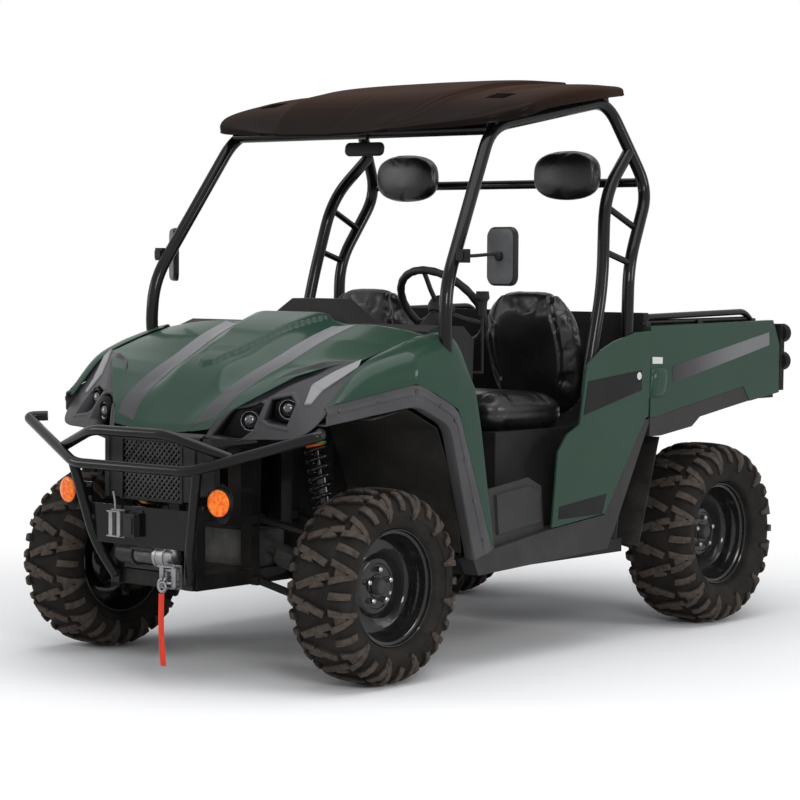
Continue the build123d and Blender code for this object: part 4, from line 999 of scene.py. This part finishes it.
def stuffed(name, grid, stands_for, room, grooves):
    """A vinyl pad filled by Cloth pressure, held within room metres of its pattern, smoothed, its seams pressed in.

    grooves takes points (mm) and gives the depth of the seams there, which is taken off along the normal.
    """
    piece = add_piece(name, woven(grid, wrap_v=True), "chassis", vinyl, stands_for, 80)
    remesh = piece.modifiers.new("even", "REMESH")
    remesh.mode, remesh.voxel_size = "VOXEL", voxel
    even = bpy.data.meshes.new_from_object(piece.evaluated_get(bpy.context.evaluated_depsgraph_get()))
    even.materials.clear()
    even.materials.append(vinyl)
    piece.modifiers.remove(remesh)
    piece.data = even
    start = per_vertex(even, "co")
    cloth = piece.modifiers.new("fill", "CLOTH")
    cloth.settings.use_pressure = True
    cloth.settings.uniform_pressure_force = 4
    cloth.settings.effector_weights.gravity = 0
    cloth.settings.tension_stiffness = cloth.settings.compression_stiffness = 40
    cloth.point_cache.frame_start, cloth.point_cache.frame_end = 1, last_frame
    for frame_number in range(1, last_frame + 1):
        bpy.context.scene.frame_set(frame_number)
    filled = bpy.data.meshes.new_from_object(piece.evaluated_get(bpy.context.evaluated_depsgraph_get()))
    moved = per_vertex(filled, "co") - start
    start = start + moved * np.minimum(1, room / np.maximum(np.linalg.norm(moved, axis=1)[:, None], 1e-9))
    piece.modifiers.remove(cloth)
    bpy.context.scene.frame_set(1)
    even.vertices.foreach_set("co", start.ravel())
    even.update()
    pressed = start - per_vertex(even, "normal") * grooves(start * 1000)[:, None] / 1000
    even.vertices.foreach_set("co", pressed.ravel())
    even.polygons.foreach_set("use_smooth", [True] * len(even.polygons))
    even.update()
    smooth = piece.modifiers.new("smooth", "SUBSURF")
    smooth.levels = smooth.render_levels = 1


voxel, last_frame = 0.009, 20
vinyl = finish_of("black_vinyl", (0.006, 0.006, 0.0065), (0.009, 0.009, 0.0095), 7, 0.27, 0.1, 0.0005, 420,
                  dusty=0.03, scuffed=0.05, specular=0.42)


def seam(distance, width, depth):
    """A sewn seam: a groove of that depth at distance 0, with a soft swell beside it."""
    swell = np.exp(-((np.abs(distance) - 2.6 * width) / width) ** 2)
    return depth * np.exp(-(distance / width) ** 2) - 0.4 * depth * swell


def shoulder(up):
    """A seat back's width for its height: full at the waist, drawn in to rounded shoulders and a narrower foot."""
    return 1 - 0.10 * np.clip(up, 0, 1) ** 2 - 0.14 * np.clip(-up, 0, 1) ** 2


seat_middle = 386


def back_seams(points):
    """Two seams that run up the back, nearest each other at its foot and head, and fade at both ends."""
    x, z = np.abs(np.abs(points[:, 0]) - seat_middle), points[:, 2]
    line = 100 + 52 * np.sin(np.clip((z - 850) / 430, 0, 1) * pi)
    return seam(x - line, 5, 7) * ramp(z, 860, 900) * (1 - ramp(z, 1255, 1280))


def cushion_seams(points):
    """Two seams along the top panel and one round the side band."""
    x, y, z = np.abs(np.abs(points[:, 0]) - seat_middle), points[:, 1], points[:, 2]
    return seam(x - 150, 5, 6) * ramp(z, 872, 892) * ramp(y, -290, -260) + 5 * np.exp(-((z - 848) / 5) ** 2)


def headrest_seam(points):
    """One seam round the pad, nearer its front."""
    return 4 * np.exp(-((points[:, 1] - 416) / 3) ** 2)


for hand, side in (("left", 1), ("right", -1)):
    x = seat_middle * side
    for name, grid, node, room, grooves in (
            ("seat_back_", pillow((x, 248, 1046), (222, 52, 244), 3.0, 3.2, "y", -14, shoulder), "seat_backs",
             0.012, back_seams),
            ("seat_cushion_", pillow((x, -80, 850), (240, 236, 64), 6.0, 3.2, "z", 2), "seat_cushions",
             0.012, cushion_seams),
            ("headrest_pad_", pillow((x, 432, 1703), (146, 40, 90), 2.7, 3.4, "y"), "headrests", 0.006,
             headrest_seam)):
        stuffed(name + hand, grid, (node,) if side > 0 else (), room, grooves)


# ---- steering wheel --------------------------------------------------------------------------------
# A foam grip moulded on a steel rim, with three spokes and a padded hub.
# It turns on the column, whose moulded sleeve is fixed to the dash.
wheel_hub, wheel_axis = np.array((0.386, -0.300, 1.222)), np.array((0, 0.766, 0.643))
grip_black = finish_of("grip_black", (0.010, 0.010, 0.011), (0.014, 0.014, 0.015), 9, 0.42, 0.1, 0.0006, 600,
                       dusty=0.04, specular=0.2)
# the rim: a ring of rim_reach metres whose grip swells 24 times on the way round
rim_reach, grip, swells = 0.168, 0.014, 24
turn, roll = np.linspace(0, 2 * pi, 97)[:-1, None], full_turn(20)[None, :]
ring_at = grip * (1 + 0.05 * np.cos(swells * turn))
rim_radius = rim_reach + ring_at * np.cos(roll)
rim_grid = np.stack([ring_at * np.sin(roll), rim_radius * np.cos(turn), rim_radius * np.sin(turn)], -1)
hub_section = [(-0.045, 0), (-0.045, 0.030), (-0.020, 0.048), (0.002, 0.050), (0.012, 0.044), (0.017, 0.028),
               (0.018, 0)]
aim_side = np.cross(wheel_axis, (0, 0, 1))
aim_side /= np.linalg.norm(aim_side)
aim_up = np.cross(aim_side, wheel_axis)
# a spoke runs out from the hub by the first number and along the column by the second
spoke_line = ((0.030, -0.016), (0.09, -0.012), (0.135, -0.004), (0.166, 0))
spokes = []
for angle in (90, 208, 332):
    reach = cos(radians(angle)) * aim_side + sin(radians(angle)) * aim_up
    spokes.append(carried([wheel_hub + reach * r + wheel_axis * d for r, d in spoke_line],
                          round_bar(0.020, 12) * (1.0, 0.7)))
add_piece("rimmed_wheel", gathered([aimed(woven(rim_grid, wrap_u=True, wrap_v=True), wheel_hub, wheel_axis),
                                    aimed(spun(hub_section, 40), wheel_hub, wheel_axis), *spokes]),
          "steering_wheel", grip_black, ("steering_wheel",), 40)
sleeve = [(-0.09, 0), (-0.09, 0.020), (-0.02, 0.022), (0.07, 0.026), (0.085, 0.024), (0.086, 0)]
add_piece("column_sleeve", aimed(spun(sleeve, 32), wheel_hub - wheel_axis * 0.13, wheel_axis), "chassis",
          grip_black, (), 40)


# ---- mirrors ---------------------------------------------------------------------------------------
# Two outside mirrors in rounded plastic shells on bent steel arms, with a ball joint behind each shell.
# Their arms are clamped to the cage; a third, long one hangs from the front cross tube.
def rounded_panel(width, height, corner, domes, sides=80):
    """A rounded rectangle in rings, each at (depth, inset from the edge); an inset past the middle closes it."""
    a = full_turn(sides)
    core = [np.sign(wave) * max(size / 2 - corner, 0) for wave, size in ((np.cos(a), width), (np.sin(a), height))]
    rings = []
    for depth, inset in domes:
        reach = max(corner - inset, 0.0)
        shrink = max(1 - max(inset - corner, 0) / min(width / 2, height / 2), 0)
        rings.append(np.stack([(core[0] + reach * np.cos(a)) * shrink, np.full(sides, float(depth)),
                               (core[1] + reach * np.sin(a)) * shrink], -1))
    return np.array(rings)


shell_grey = finish_of("mirror_shell", (0.10, 0.102, 0.105), (0.07, 0.071, 0.073), 8, 0.45, 0.1, 0.0006, 900,
                       dusty=0.12, specular=0.15)
rim_black = finish_of("mirror_rim", (0.010, 0.010, 0.011), (0.014, 0.014, 0.015), 8, 0.4, 0.1, 0.0003, 900,
                      dusty=0.05, specular=0.15)
mirror_glass = finish_of("mirror_glass", (0.75, 0.76, 0.78), (0.7, 0.71, 0.73), 3, 0.03, 0.02, 0.00002, 900,
                         metal=1, dusty=0.02)
# rings as (depth, inset), mm: the outside mirrors' case, glass and back cover, and the inner mirror's
case = ((-8, 200), (-8, 30), (-9, 12), (-8, 6), (-3, 1.5), (3, 0), (10, 1), (11, 4), (9, 6))
glass = ((9, 6), (9.2, 20), (9.2, 200))
cover = ((-10.5, 200), (-10.5, 20), (-10.5, 3), (-9.5, 0))
cab_case = ((-9, 200), (-9, 12), (-8, 5), (-3, 1), (4, 0), (9, 2), (7, 5))
cab_glass = ((7.2, 4), (7.4, 8), (7.4, 200))
joint_ball = [(-0.016, 0), (-0.014, 0.009), (-0.006, 0.015), (0.004, 0.016), (0.012, 0.011), (0.016, 0)]


def hung(rings, place, yaw, pitch=0):
    """Rings (mm) turned about X by pitch and about Z by yaw degrees, then moved to place."""
    shell = woven(rings, wrap_v=True)
    turned_by = np.array(Euler((radians(pitch), 0, radians(yaw))).to_matrix())
    return (shell[0] @ turned_by.T + place) / 1000, shell[1]


shells = []
for hand, side, place, yaw in (("left", 1, (786, -480, 1400), -12), ("right", -1, (-758, -486, 1400), -38)):
    clamp_x = 712 * side
    shells.append(hung(rounded_panel(148, 198, 34, case), place, yaw))
    add_piece(f"mirror_glass_{hand}", hung(rounded_panel(148, 198, 34, glass), place, yaw), "chassis",
              mirror_glass, ("mirrors",) if side > 0 else (), 30)
    add_piece(f"mirror_back_{hand}", hung(rounded_panel(134, 184, 28, cover), place, yaw), "chassis",
              shell_grey, (), 30)
    arm = mm((clamp_x, -590, 1400), (clamp_x + 26 * side, -560, 1402), (place[0] - 14 * side, -505, 1408),
             (place[0], place[1] - 9, 1404))
    shells += [carried(bent(arm, 0.03), round_bar(0.012, 14)),
               slab((clamp_x - 18, -612, 1378), (clamp_x + 18, -580, 1424)),
               slab((clamp_x - 14, -619, 1386), (clamp_x + 14, -575, 1414))]
    points, faces = spun(joint_ball, 20)
    shells.append((points[:, [1, 0, 2]] + np.array(place) / 1000 - (0, 0.016, 0), [face[::-1] for face in faces]))
cab_place, cab_yaw, cab_pitch = (64, -352, 1779), 6, -8
shells += [hung(rounded_panel(166, 50, 20, cab_case), cab_place, cab_yaw, cab_pitch),
           carried(bent(mm((64, -345, 1790), (64, -335, 1822), (64, -320, 1846)), 0.02), round_bar(0.011, 14)),
           slab((44, -332, 1832), (84, -306, 1846))]
add_piece("mirror_shells", gathered(shells), "chassis", rim_black, (), 35)
add_piece("cab_mirror_glass", hung(rounded_panel(150, 38, 14, cab_glass), cab_place, cab_yaw, cab_pitch),
          "chassis", mirror_glass, (), 30)


# ---- winch, fairlead and strap ---------------------------------------------------------------------
# A small electric winch behind the bull bar: motor, drum of rope and gear case in line, chromed roller fairlead.
# A red webbing pull strap hangs from the hook.
def along_x(section, place, sides=40):
    """A section of (x, radius), mm, turned about X and moved to place."""
    points, faces = spun(np.array(section, float) / 1000, sides)
    return points + np.array(place, float) / 1000, faces


def upright(section, place, sides=28):
    """A section of (height, radius), mm, turned about Z and moved to place."""
    points, faces = spun(np.array(section, float) / 1000, sides)
    return points[:, [1, 2, 0]] + np.array(place, float) / 1000, faces


winch_silver = finish_of("winch_silver", (0.30, 0.30, 0.31), (0.22, 0.22, 0.23), 20, 0.3, 0.12, 0.0003, 900,
                         metal=0.9, dusty=0.12)
winch_black = finish_of("winch_black", (0.010, 0.010, 0.011), (0.016, 0.016, 0.017), 12, 0.35, 0.1, 0.0003, 900,
                        dusty=0.08, specular=0.2)
rope_steel = finish_of("wire_rope", (0.16, 0.16, 0.155), (0.10, 0.10, 0.098), 60, 0.35, 0.1, 0.0004, 1500,
                       metal=0.8, dusty=0.1)
drum_at = (0, -1352, 408)
motor = [(-138, 0), (-138, 20), (-134, 30), (-128, 33), (-124, 33), (-122, 35), (-60, 35), (-58, 38), (-50, 38),
         (-48, 0)]
gears = [(48, 0), (48, 40), (60, 41), (62, 38), (84, 38), (86, 41), (96, 41), (98, 36), (118, 34), (126, 28),
         (132, 12), (132, 0)]
# the rope on the drum: 16 turns side by side from one flange to the other
rope_line = [(-48, 24)] + [(-46 + 94 * k / 64, 27 + 2.2 * cos(2 * pi * k / 4)) for k in range(65)] + [(48, 24)]
rods = [slab((-50, drum_at[1] + dy - 4, 404 + dz), (50, drum_at[1] + dy + 4, 412 + dz))
        for dy, dz in ((-34, 22), (26, 26))]
foot = [slab((-138, -1318, 352), (138, -1308, 458)), slab((-132, -1340, 356), (132, -1316, 372))]
add_piece("winch_case", gathered([along_x(motor, drum_at), *rods, *foot]), "chassis", winch_black,
          ("winch",), 35)
add_piece("winch_gears", along_x(gears, drum_at), "chassis", winch_silver, (), 30)
add_piece("winch_rope", along_x(rope_line, drum_at), "chassis", rope_steel, (), 30)
guide_roller = [(470, 0), (470, 9), (548, 9), (548, 0)]
guide = [slab((-132, -1401, 462), (-70, -1396.5, 556)), slab((-132, -1424, 548), (-70, -1400, 552)),
         slab((-132, -1424, 466), (-70, -1400, 470)), *[upright(guide_roller, (x, -1413, 0)) for x in (-120, -82)],
         carried(bent(mm((-101, -1412, 556), (-101, -1414, 590), (-98, -1424, 616)), 0.02), round_bar(0.008, 12))]
add_piece("rope_guide", gathered(guide), "chassis", winch_silver, (), 35)
relay = [slab((-52, -1424, 470), (-2, -1396.5, 546)), slab((-44, -1428, 480), (-10, -1424, 534)),
         carried(bent(mm((-6, -1408, 540), (6, -1404, 556), (14, -1398, 552)), 0.01), round_bar(0.006, 10))]
add_piece("winch_relay", gathered(relay), "chassis", winch_black, (), 35)

side_roller, cap_nut = [(320, 0), (320, 9.5), (384, 9.5), (384, 0)], [(-4, 0), (-4, 5.5), (0, 5.5), (2, 3), (2, 0)]
level_roller = [(-38, 0), (-38, 7), (38, 7), (38, 0)]
side_rollers, level_rollers = (119, 173), (330, 374)
fairlead = [slab((102, -1396, 312), (190, -1391.5, 392)), slab((108, -1424, 384), (184, -1394, 389)),
            slab((108, -1424, 315), (184, -1394, 320)),
            *[upright(side_roller, (x, -1412, 0)) for x in side_rollers],
            *[along_x(level_roller, (146, -1404, z)) for z in level_rollers],
            *[upright(cap_nut, (x, -1412, 393)) for x in side_rollers]]
add_piece("fairlead_rollers", gathered(fairlead), "chassis", winch_silver, ("fairlead",), 30)
turn = np.linspace(0, 2 * pi, 49)[:-1, None]
eye = np.concatenate([np.cos(turn) * 0.0155, 0 * turn, np.sin(turn) * 0.0165], 1) + mm((150, -1442, 321.5))
throat = bent(mm((150, -1406, 352), (150, -1428, 350), (150, -1440, 338)), 0.012)
clasp = bent(mm((150, -1440, 350), (134, -1442, 342), (132, -1443, 318), (150, -1444, 304), (168, -1443, 318)),
             0.014)
hook = [carried(eye, round_bar(0.0075, 14), True), carried(throat, round_bar(0.009, 14)),
        carried(clasp, round_bar(0.010, 14))]
add_piece("strap_hook", gathered(hook), "chassis", winch_silver, (), 30)

strap_points = mm((150, -1446.5, 301.7), (149.5, -1446.5, 262), (148, -1446.4, 210), (151, -1446.5, 150),
                  (156, -1446.5, 100), (159.5, -1446.5, 66.5))
strap_line = bpy.data.curves.new("strap_line", "CURVE")
strap_line.dimensions = "3D"
spline = strap_line.splines.new("NURBS")
spline.points.add(len(strap_points) - 1)
spline.points.foreach_set("co", np.concatenate([strap_points, np.ones((len(strap_points), 1))], 1).ravel())
spline.order_u, spline.use_endpoint_u, spline.resolution_u = 3, True, 24
carrier = bpy.data.objects.new("strap_line", strap_line)
followed = bpy.data.meshes.new_from_object(carrier)
strap_path = per_vertex(followed, "co")
bpy.data.meshes.remove(followed)
bpy.data.objects.remove(carrier)
strap_width, strap_half_thick = 0.024, 0.0011
across = np.linspace(-strap_width / 2, strap_width / 2, 9)
section = np.concatenate([np.stack([across, 0 * across - strap_half_thick], -1),
                          np.stack([-across, 0 * across + strap_half_thick], -1)])
ribbon = np.repeat(strap_path[:, None], len(section), 1)
ribbon[..., :2] += section
points, faces = woven(ribbon, wrap_v=True)
count = len(section)
faces = faces + [list(range(count)), list(range(len(points) - count, len(points)))[::-1]]


def ribs_of(tree):
    """The webbing's ribs across it: 160 waves a metre up the strap."""
    ribs = node_with(tree, "TexWave", {"Scale": 160, "Vector": places(tree)})
    ribs.bands_direction = "Z"
    return calc(tree, "MULTIPLY", ribs.outputs["Fac"], 0.35)


webbing = finish_of("red_webbing", (0.80, 0.065, 0.035), (0.70, 0.050, 0.026), 30, 0.7, 0.1, 0.0003, 1200,
                    dusty=0.04, specular=0.1)
overlaid(webbing, (ribs_of, (0.50, 0.03, 0.015)))
strap = add_piece("pull_strap", (points, faces), "chassis", webbing, ("winch_strap",), 40)


# ---- radiator, painted shade behind the grille -----------------------------------------------------
# A finned aluminium radiator, painted black; its near black slab is also painted shade behind the grille.
# It stands behind the grille mesh, and is bolted to the frame's front cross member.
fin_pitch = 9.0
fins = [slab((-133, -1328, z), (133, -1322, z + 3)) for z in np.arange(590, 783, fin_pitch)]
# the dark slab behind the mesh: the radiator's core, and painted shade as well
core = slab((-135, -1322, 587), (135, -1308, 786))
add_piece("radiator_core", gathered([core, *fins]), "chassis", lamp_black, (), 30)


# ---- shock absorbers -------------------------------------------------------------------------------
# Gas dampers with black springs wound round them; orange and green preload collars, gold lower seats.
# They are bolted between the frame and the wishbones and stay at ride height.
def coil_round(low, high, reach, wire, turns, steps=26, sides=10):
    """A spring from low to high: low + (high-low)s + reach (cos, sin) of its turn, with a round wire."""
    low, high = mm(low, high)
    axis = high - low
    d = axis / np.linalg.norm(axis)
    side = np.cross(d, (0, 1, 0))
    side /= np.linalg.norm(side)
    front = np.cross(d, side)
    s = np.linspace(0, 1, int(turns * steps))[:, None]
    rise = np.interp(s, (0, 0.06, 0.94, 1), (0.01, 0.03, 0.97, 0.99))
    angle = 2 * pi * turns * s
    out = np.cos(angle) * side + np.sin(angle) * front
    line = low + axis * rise + out * reach
    a = full_turn(sides)
    grid = line[:, None] + (out[:, None] * np.cos(a)[None, :, None] + d * np.sin(a)[None, :, None]) * wire
    points, faces = woven(grid, wrap_v=True)
    return points, faces + [list(range(sides)), list(range(len(points) - sides, len(points)))[::-1]]


def lathed(low, high, section, sides=28):
    """A section of (share of the way from low to high, radius in mm) turned round the line between them."""
    low, high = mm(low, high)
    length = np.linalg.norm(high - low)
    return aimed(spun([(share * length, radius / 1000) for share, radius in section], sides), low, high - low)


spring_black = finish_of("spring_black", (0.006, 0.006, 0.007), (0.010, 0.010, 0.011), 12, 0.22, 0.1, 0.0002, 900,
                         coat=0.4, dusty=0.06, coat_roughness=0.1)
collar_gold = finish_of("seat_gold", (0.30, 0.17, 0.035), (0.22, 0.12, 0.025), 40, 0.25, 0.15, 0.0002, 900,
                        metal=0.9, dusty=0.08)
collar_orange = finish_of("collar_orange", (0.75, 0.13, 0.008), (0.62, 0.10, 0.006), 30, 0.35, 0.1, 0.0002, 900,
                          specular=0.2)
collar_green = finish_of("collar_green", (0.06, 0.32, 0.035), (0.05, 0.26, 0.03), 30, 0.35, 0.1, 0.0002, 900,
                         specular=0.2)
damper = ((0, 0), (0, 14), (0.05, 15), (0.06, 24), (0.55, 24), (0.56, 20), (0.57, 9), (0.93, 9), (0.94, 27),
          (0.975, 25), (0.98, 13), (1, 12), (1, 0))
lower_seat = ((0.055, 0), (0.055, 30), (0.07, 42), (0.095, 42), (0.10, 37), (0.12, 35), (0.125, 25), (0.125, 0))
collar = ((0.885, 20), (0.885, 33), (0.91, 34), (0.912, 20))
preload = ((0.915, 20), (0.915, 36), (0.935, 36), (0.94, 20))
# the lower and upper eye of the left front and left rear shock, mm; the right ones mirror them
shock_eyes = (((425, -950, 508.5), (368, -950, 796.5)), ((400, 990, 510), (335, 990, 696)))
coil_reach, wire_radius, coils = 0.034, 0.0072, 10
springs = [coil_round(low, top, coil_reach, wire_radius, coils) for low, top in shock_eyes]
add_piece("shock_springs", on_both(*springs), "chassis", spring_black, ("shocks",), 40)
for name, section, slot, paint in (("bodies", damper, "black_steel", spring_black),
                                   ("seats", lower_seat, "cast_metal", collar_gold),
                                   ("collars", collar, "amber", collar_orange),
                                   ("preload", preload, "body_green", collar_green)):
    add_piece("shock_" + name, on_both(*[lathed(low, top, section) for low, top in shock_eyes]), "chassis",
              paint, (), 35)


# ---- body trims and lamps at the rear --------------------------------------------------------------
# Printed films, a filler disc and a latch bulge lie on the green sides; the lamp posts are black plastic
# with two round red lamps each in black cups.
film_black = finish_of("film_black", (0.008, 0.008, 0.009), (0.012, 0.012, 0.013), 6, 0.34, 0.06, 0.00004, 3000,
                       coat=0.1, dusty=0.03)
film = 0.0008


def film_at(x, *corners):
    """A printed film on the left body side, x millimetres out, its corners in (y, z)."""
    return plate(mm(*[(x, y, z) for y, z in corners]), (film, 0, 0))


quarter_x, bed_x = 732.6, 724.2
add_piece("quarter_films", on_both(film_at(quarter_x, (100, 960), (431, 989), (432, 916), (72, 840)),
                                   film_at(quarter_x, (-68, 524), (218, 551), (190, 480), (-74, 480))),
          "chassis", film_black, (), 30)
stripe_grey = finish_of("stripe_grey", (0.030, 0.030, 0.032), (0.040, 0.040, 0.042), 6, 0.34, 0.06, 0.00004, 3000,
                        coat=0.1, dusty=0.03)
overlaid(stripe_grey, (lambda tree: going(tree, 1, 0.62, 1.15), (0.16, 0.16, 0.165)))
stripe = film_at(bed_x, (642, 997), (1321, 1111), (1323, 1060), (650, 934))
add_piece("bed_side_stripes", on_both(stripe), "cargo_bed", stripe_grey, (), 30)
disc_white = finish_of("disc_white", (0.62, 0.63, 0.63), (0.55, 0.56, 0.56), 12, 0.4, 0.1, 0.0002, 900, dusty=0.08)
disc = along_x([(0, 0), (0, 14), (2.4, 14), (3.2, 12), (3.2, 0)], (731.6, 415, 968), 32)
add_piece("side_discs", on_both(disc), "chassis", disc_white, (), 30)
tag = plate(mm((bed_x, 512, 1035), (bed_x, 578, 1032), (bed_x, 578, 1008), (bed_x, 512, 1010)), (0.001, 0, 0))
add_piece("side_tags", on_both(tag), "cargo_bed", disc_white, (), 30)
# the latch: a bulge |high|^n + |wide|^n < 1 that stands 20 mm proud and leans with the panel
latch_proud, latch_half_y, latch_half_z, squareness = 20, 54, 56, 3.4
high, wide = np.linspace(-1, 1, 41)[:, None], np.linspace(-1, 1, 33)[None, :]
bulge = np.clip(1 - np.abs(high) ** squareness - np.abs(wide) ** squareness, 0, 1) ** 0.5
latch = np.stack([722 + latch_proud * bulge, 548 + latch_half_y * wide + 10 * high,
                  940 + latch_half_z * high + 0 * wide], -1) / 1000
add_piece("latch_bulges", on_both(sheet_of(latch, (1, 0, 0))), "cargo_bed", body_green, (), 40)

lamp_red = finish_of("tail_lens", (0.34, 0.006, 0.006), (0.24, 0.004, 0.004), 70, 0.1, 0.05, 0.001, 260, coat=0.6,
                     dusty=0.03, coat_roughness=0.03)
cup = [(-0.006, 0), (-0.006, 0.035), (0.004, 0.037), (0.026, 0.037), (0.028, 0.035), (0.028, 0.031), (0.022, 0.030)]
lens = [(0.020, 0.0312), (0.026, 0.0305), (0.030, 0.024), (0.0315, 0.012), (0.032, 0)]
cups, lenses = [[aimed(spun(section, 40), mm((706, 1430, z))[0], (0, 1, 0)) for z in (1105, 995)]
                for section in (cup, lens)]
post = plate(mm((690, 1402.5, 1142), (690, 1402.5, 880), (725, 1402.5, 880), (727, 1402.5, 1142)), (0, 0.030, 0))
add_piece("lamp_posts", on_both(post, *cups), "cargo_bed", lamp_black, (), 35)
add_piece("tail_lenses", on_both(*lenses), "cargo_bed", lamp_red, ("tail_lamps",), 35)


# ---- the parts that keep their CAD shape ----------------------------------------------------------
# Frame, arms, engine, floor, liners, bed and side panels: painted, cast or moulded as the real ones are.
# Their triangles are welded and their edges get a small round.
def dressed(names, finish, width=0.0012):
    """Gives each named CAD node a finish, joins its triangles and rounds its sharp edges."""
    for name in names:
        node = bpy.data.objects[name]
        if not node.material_slots:
            node.data.materials.append(finish)
        for holder in node.material_slots:
            holder.material = finish
        joined = node.modifiers.new("joined", "WELD")
        joined.merge_threshold = 0.00002
        softened(node, width, 35)


frame_black = finish_of("frame_black", (0.007, 0.007, 0.0075), (0.012, 0.0115, 0.011), 5, 0.34, 0.12, 0.0002, 700,
                        coat=0.12, dusty=0.10, dust_top=0.6, scuffed=0.1)
moulded_black = finish_of("moulded_black", (0.012, 0.012, 0.013), (0.018, 0.018, 0.0185), 6, 0.5, 0.12, 0.0005, 900,
                          dusty=0.06, specular=0.12)
liner_black = finish_of("liner_black", (0.016, 0.0155, 0.015), (0.028, 0.026, 0.024), 3, 0.6, 0.15, 0.0006, 500,
                        dusty=0.2, specular=0.1)
cast_grey = finish_of("cast_grey", (0.09, 0.09, 0.088), (0.05, 0.05, 0.05), 14, 0.45, 0.2, 0.0008, 500, metal=0.5,
                      dusty=0.25, dust_top=0.6)
bed_liner = finish_of("bed_liner", (0.014, 0.014, 0.015), (0.020, 0.020, 0.021), 4, 0.62, 0.12, 0.0008, 420,
                      dusty=0.12, specular=0.1)
rail_line = mm((681, 508, 1150), (681, 530, 1180), (681, 1205, 1192), (681, 1268, 1146))
sill_line = mm((676, 540, 1160), (676, 1216, 1164))
feet = [slab((668, y, 1140), (694, y + 30, 1166)) for y in (512, 860, 1238)]
add_piece("bent_bed_rails", on_both(tube(rail_line, 0.024, 0.05), tube(sill_line, 0.02), *feet), "cargo_bed",
          powder_black, ("bed_rails",), 40)
dressed(("chassis_frame", "suspension_arms"), frame_black)
dressed(("bed_box",), bed_liner)
dressed(("dashboard", "column_and_lever", "seat_base", "floor_pan"), moulded_black, 0.003)
dressed(("wheel_liners",), liner_black)
sill_black = finish_of("sill_black", (0.018, 0.018, 0.019), (0.028, 0.028, 0.029), 5, 0.4, 0.12, 0.0005, 700,
                       dusty=0.07, scuffed=0.08, specular=0.15)
dressed(("bed_arch_trims", "rocker_panels"), sill_black, 0.002)
dressed(("engine_block", "half_shafts", "knuckle_left", "knuckle_right", "rack_housing", "steering_rack"),
        cast_grey)
dressed(("bed_side_panels", "quarter_panels", "tailgate"), body_green, 0.0025)


size = {"cad": [list(corner) for corner in cad_box], "visual": [list(corner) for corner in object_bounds()]}
